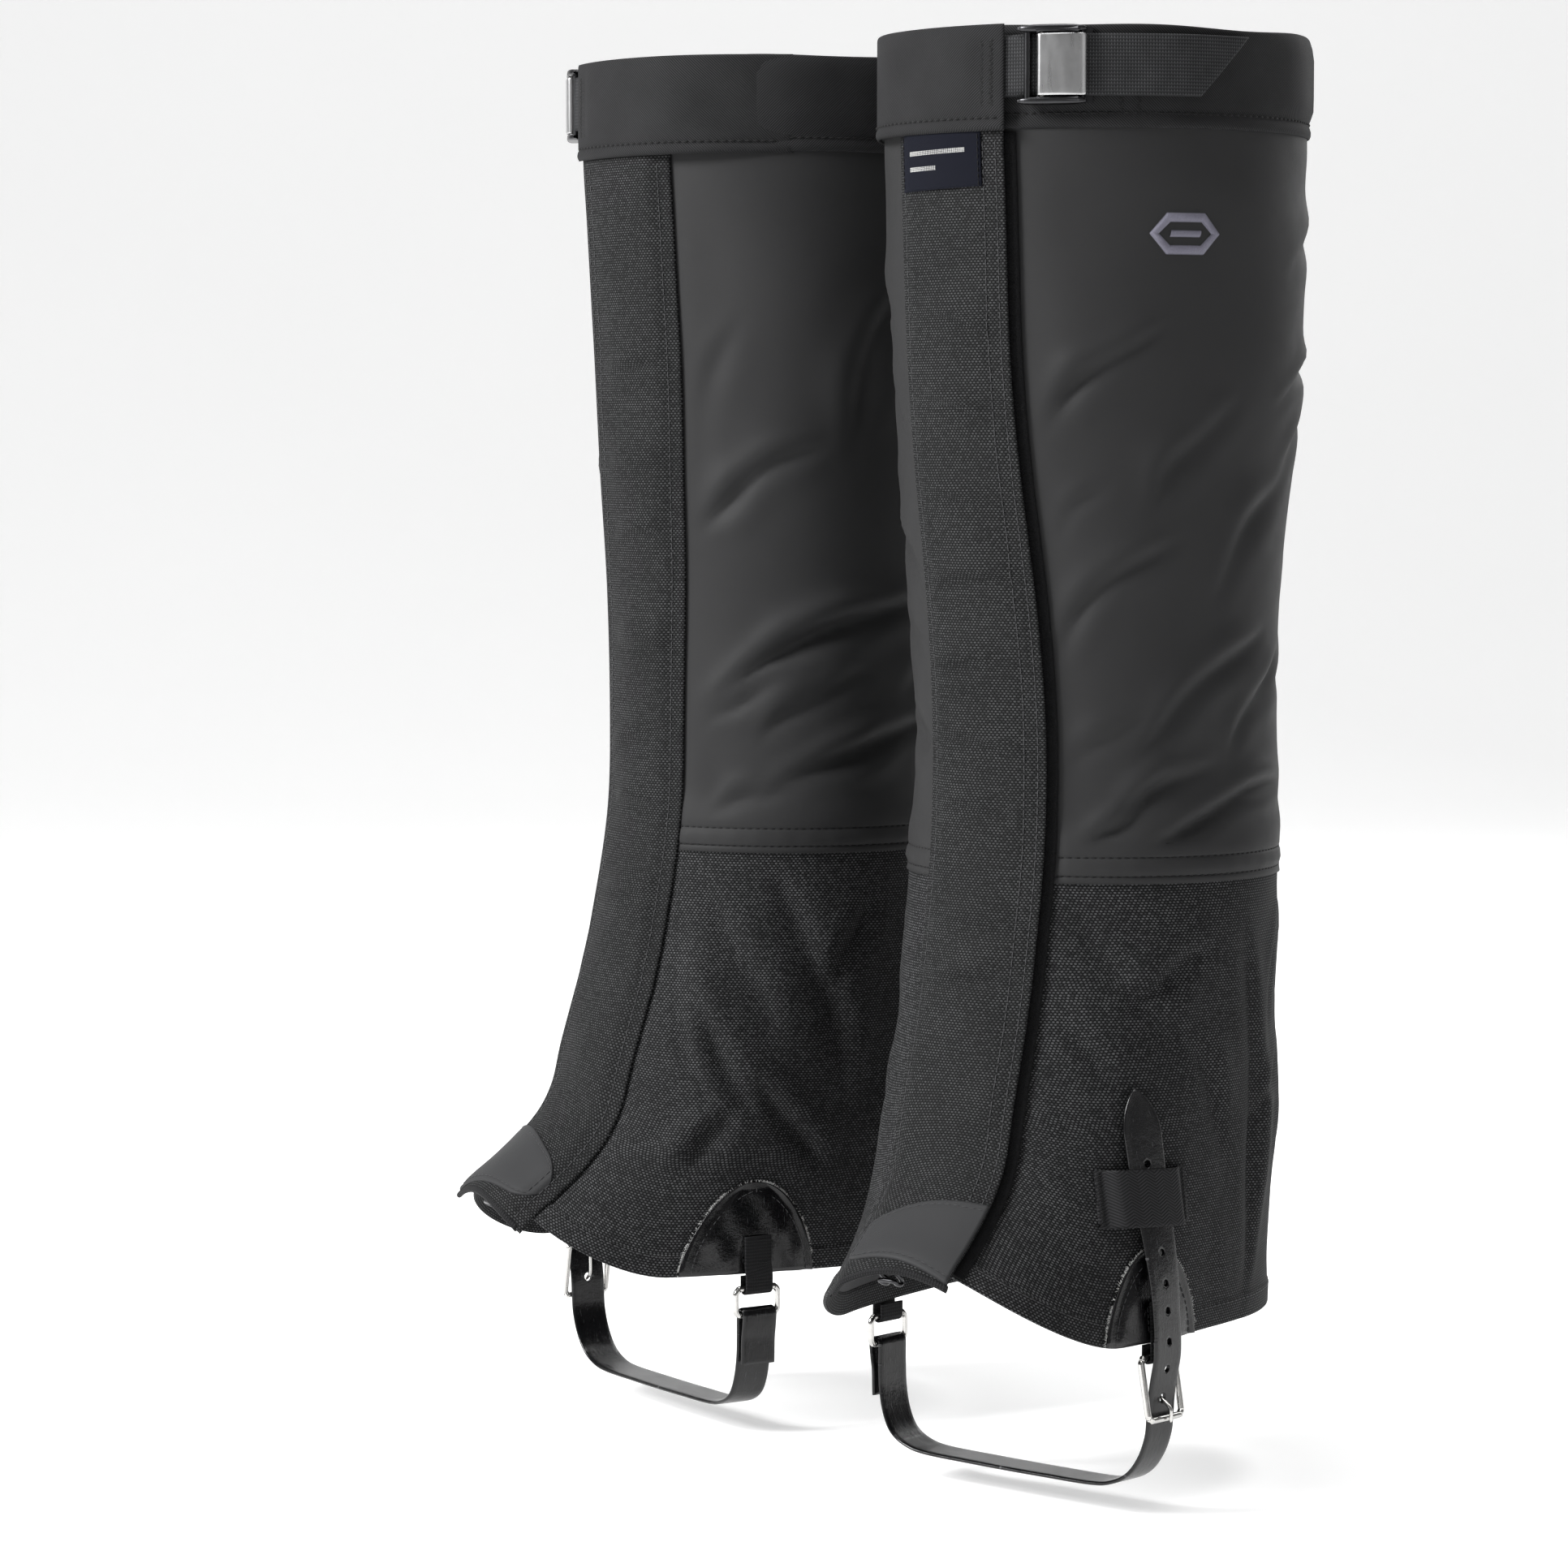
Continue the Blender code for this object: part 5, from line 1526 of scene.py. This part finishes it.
def build_tabs(side):
    outer, inner, along, across = strap_axes()
    radius = 0.0019
    for name, foot, out, y, is_inner, bar_z in (
            ("outer_tab", outer, along, OUTER_STRAP_Y, False, BAR_Z),
            ("inner_tab", inner, -along, INNER_STRAP_Y, True, RING_TOP_Z)):
        hs = np.array([0.0775, 0.0740, 0.0700, 0.0665])
        front = skin(angle_at_y(y, hs, is_inner), hs, 0.0029)
        rest = [foot + out * (BAR_N + radius) + UP * z for z in (0.0625, 0.0600)]
        rest += arc_points(foot, out, (BAR_N, bar_z), radius, range(0, -181, -30))
        rest += [foot + out * (BAR_N - radius) + UP * z for z in (0.0600, 0.0622)]
        points = np.concatenate([front, np.array(rest)])
        obj = strip_body(side, name + "_web", points, np.repeat(across[None], len(points), 0),
                         lambda run: np.full(len(run), TAB_WIDTH / 2), 0.0010, WEB_BLACK, 0.0007)[0]
        if not is_inner:
            at = world(side, outer + along * BAR_N + UP * (BAR_Z + 0.0006))
            carve(obj, [slot_cutter(at, world(side, along) - world(side, np.zeros(3)))])
        blend_strap(obj, side, 0.0680, 0.0612)
        name_piece(obj, side, "webbing_black", name + "_anchor", name + "_loop")

        # Box stitches that hold the tab to its patch.
        parts = []
        k = np.linspace(0, 1, 20)
        low, high, arc = 0.0675, 0.0760, 0.0045
        for h0, a0, h1, a1 in ((low, -arc, high, -arc), (high, -arc, high, arc),
                               (high, arc, low, arc), (low, -arc, low, arc)):
            h = h0 + (h1 - h0) * k
            a = angle_at_y(y, h, is_inner) + (a0 + (a1 - a0) * k) / TAB_RADIUS
            parts.append(seam(side, a, h, 0.0034, 0.0019, 0.0016, 0.00018))
        sew(side, name + "_stitches", parts, THREAD_DARK, "gaiter")


def rounded_loop(foot, out, across, top, bottom):
    """Rounded rectangle of wire between two bars given as (outward, height)."""
    corner = 0.0024
    slope = np.subtract(top, bottom)
    size = np.linalg.norm(slope)
    centre = 0.5 * np.add(top, bottom)
    points = []
    for quarter in range(4):
        cx = (FRAME_HALF - corner) * (1 if quarter in (0, 3) else -1)
        cy = (size / 2 - corner) * (1 if quarter in (0, 1) else -1)
        for t in np.radians(90.0 * quarter + 22.5 * np.arange(5)):
            n, z = centre + slope / size * (cy + corner * math.sin(t))
            points.append(foot + out * n + UP * z + across * (cx + corner * math.cos(t)))
    return points


def build_hardware(side):
    outer, inner, along, across = strap_axes()
    for name, node, foot, out, top, bottom in (
            ("buckle_wire", "buckle_frame", outer, along, (BAR_N, BAR_Z), (FAR_BAR_N, FAR_BAR_Z)),
            ("ring_wire", "inner_ring", inner, -along, (BAR_N, RING_TOP_Z), (BAR_N, RING_LOW_Z))):
        loop = rounded_loop(foot, out, across, top, bottom)
        attach(wire(side, name, loop, WIRE_RADIUS, STEEL, cyclic=True), side, "instep_loop",
               "steel_wire", node)
    line = arc_points(outer, along, (BAR_N, BAR_Z), 0.0019, range(-60, 221, 35))
    line += [outer + along * n + UP * z
             for n, z in ((0.0007, 0.0530), (0.0007, 0.0455), (0.0030, 0.0432),
                          (0.0067, 0.0404), (0.0073, 0.0385), (0.0072, 0.0352))]
    prong = wire(side, "prong_wire", line, 0.00065, STEEL, 0.0004)
    attach(prong, side, "prong", "steel_wire", "buckle_prong")

    # Lace hook under the toe and the tab that holds it.
    a = angle_at_arc(0.0, 0.0575)
    foot = skin(a, 0.0575, 0.0010)
    inward = unit(foot - skin(a, 0.0575, 0.0037))
    profile = ((0.0, 0.0), (0.003, 0.0), (0.0055, 0.0), (0.0068, -0.0012), (0.0070, -0.0028),
               (0.0060, -0.0040), (0.0045, -0.0042))
    line = [foot + inward * deep + np.array([sign * (0.0035 if deep < 0.004 else 0.0028), back, 0])
            for sign, path in ((-1, profile), (1, profile[::-1])) for deep, back in path]
    hook = wire(side, "lace_hook_wire", line, 0.0008, DARK_METAL, 0.0005)
    attach(hook, side, "flap", "steel_wire", "lace_hook")
    h, arc = grid(np.linspace(FLAP_END_Z + 0.001, 0.0640, 8), np.linspace(-0.006, 0.006, 10))
    tab = surface(side, "lace_hook_web", skin(angle_at_arc(arc, h), h, 0.0022), [WEB_BLACK], 0.0010)
    attach(tab, side, "flap", "webbing_black", "lace_hook_tab")


def build_keeper(side):
    width = 0.029
    x = (np.linspace(0, 1, 44)[:, None] - 0.5) * width
    ramp = ease((0.0128 - np.abs(x)) / 0.0042)
    zs = np.linspace(KEEPER_LOW_Z, KEEPER_HIGH_Z, 22)
    wobble = 0.00035 * np.where(np.arange(len(zs)) % 2 == 0, 1.0, -1.0)
    h = np.concatenate([zs, zs[::-1]])
    flat = 0.00115
    over_strap = tail_off(h) + STRAP_THICK + 0.0004
    off = flat + (over_strap - flat) * ramp + 0.0008 * np.repeat((1.0, 0.0), len(zs))
    ragged = np.zeros((len(x), len(h)))
    ragged[-1] = np.concatenate([wobble, wobble[::-1]])
    ragged[0] = -ragged[-1]
    angle = angle_at_y(OUTER_STRAP_Y, h) + (x + ragged) / KEEPER_RADIUS
    uv = (x + width / 2, closed(h))
    keeper = loft(side, "keeper_cloth", skin(angle, h, off), uv, [TAPE])
    attach(keeper, side, "gaiter", "webbing_black", "strap_keeper")
    parts = []
    for sign in (-1, 1):
        h = np.linspace(KEEPER_LOW_Z + 0.0008, KEEPER_HIGH_Z - 0.0008, 30)
        a = angle_at_y(OUTER_STRAP_Y, h) + sign * 0.0134 / KEEPER_RADIUS
        parts.append(seam(side, a, h, 0.0021, 0.0007, 0.0017, 0.00017, 1.2, True))
    sew(side, "keeper_stitches", parts, THREAD_DARK, "gaiter")


def build_patch(side, name, strap_y, inner, height):
    """Arched glossy patch at the hem with a stitch line and a frayed, pale cut edge."""
    half_width = 0.0225 if inner else 0.0195
    radius = float(np.linalg.norm(base(angle_at_y(strap_y, HEM_Z + 0.001, inner), HEM_Z)[:2]))
    foot = HEM_Z + 0.0003

    def half_at(share):
        return half_width * np.sqrt(np.maximum(0.0, 1.0 - share**1.6))

    share = np.sin(np.linspace(0, math.pi / 2, 30))[:, None]
    rows = foot + (height - 0.0003) * share
    c = np.linspace(-1, 1, 36)[None, :]
    half = np.maximum(half_at(share), 0.0004)
    angle = angle_at_y(strap_y, rows, inner) + c * half / radius
    h = rows + np.zeros_like(angle)
    edge = np.minimum((1 - np.abs(c)) * half, (1 - share) * height)
    dent = 0.0004 * np.sin(angle * 38) * np.sin(h * 260) * ease(edge / 0.006)
    curl = 0.0005 * ease((0.002 - edge) / 0.002)
    sink = 0.00025 * bell(edge - 0.0030, 0.0008)
    patch = surface(side, name + "_cloth", skin(angle, h, 0.00135 + dent + curl - sink), [PATCH],
                    0.0007)
    attach(patch, side, "gaiter", "coated_patch", name)

    # The arch line from one foot over the top to the other.
    turn = np.linspace(0, math.pi, 260)
    s, way = np.sin(turn), np.sign(np.cos(turn))
    line_h = foot + (height - 0.0003) * s
    a = angle_at_y(strap_y, line_h, inner) + way * half_at(s) / radius
    rng = np.random.RandomState(70 + side + (5 if inner else 0))
    p, n = raised(side, a, line_h, 0.0019)
    t = unit(np.gradient(p, axis=0))
    outward = np.cross(n, t)
    centre = p[len(p) // 2] * 0.3 + 0.35 * (p[0] + p[-1])
    outward = outward * np.sign(np.sum(outward * (p - centre), 1, keepdims=True))
    run = run_along(p)
    count = 620
    where = np.sort(rng.uniform(0, run[-1], count))
    where = where[rng.uniform(size=count) < 0.55 + 0.45 * np.sin(where / 0.004)]
    p, n, t, outward = (sample(where, run, values) for values in (p, n, t, outward))
    roots = p + n * rng.uniform(-0.0003, 0.0002, (len(where), 1))
    direction = unit(outward + n * rng.uniform(-0.2, 0.5, (len(where), 1)))
    sew(side, name + "_fray", [hairs(roots, direction, unit(t), 0.0011, 0.00010, rng, 0.8)], FRAY,
        "gaiter")

    inset_h = foot + (height - 0.0033) * s
    inset_half = np.maximum(half_at(np.minimum(s, 0.999)) - 0.0030, 0.0)
    a = angle_at_y(strap_y, inset_h, inner) + way * inset_half / radius
    line = seam(side, a, inset_h, 0.0020, 0.0026, 0.0021, 0.00019)
    sew(side, name + "_stitches", [line], THREAD_GREY, "gaiter")


# ================================================================ stage, light and camera
def build_stage():
    profile = [(4.0, 0.0), (0.0, 0.0), (-3.0, 0.0)]
    profile += [(-3.0 - 2.0 * math.sin(t), 2.0 - 2.0 * math.cos(t))
                for t in np.linspace(0.1, math.pi / 2, 14)]
    profile += [(-5.0, 6.0)]
    view_in = unit(np.array([*VIEW_DIRECTION[:2], 0.0]))
    cross = np.array([-view_in[1], view_in[0], 0.0])
    points = np.array([[-view_in * depth + cross * w + UP * height for w in (-8.0, 0.0, 8.0)]
                       for depth, height in profile])
    quad_mesh("floor", points, lay_uv(points), False, [floor_material()], False)


def area_light(name, at, size, power):
    data = bpy.data.lights.new(name, "AREA")
    data.shape = "RECTANGLE"
    data.size, data.size_y = size
    data.energy = power
    aim(link_object(name, data), at, Vector(LIGHT_TARGET) - Vector(at), "-Z")


def build_light():
    scene = bpy.context.scene
    scene.world = bpy.data.worlds.new("studio")
    scene.world.use_nodes = True
    back = scene.world.node_tree.nodes["Background"]
    back.inputs[0].default_value = (1.0, 1.0, 1.0, 1.0)
    back.inputs[1].default_value = 0.22
    scene.view_settings.view_transform = "Standard"
    for light in LIGHTS:
        area_light(*light)


def build_camera():
    data = bpy.data.cameras.new("camera")
    data.sensor_width = 36.0
    data.lens = 111.8
    cam = link_object("camera", data)
    aim(cam, (1.3638, -1.2249, 0.3737), VIEW_DIRECTION, "-Z")
    bpy.context.scene.camera = cam


def main():
    build_camera()
    build_stage()
    build_light()
    for side in SIDES:
        for build in (build_panels, build_cuff, build_flap, build_seams, build_badge, build_cinch,
                      build_strap):
            build(side)


main()
bpy.context.view_layer.update()
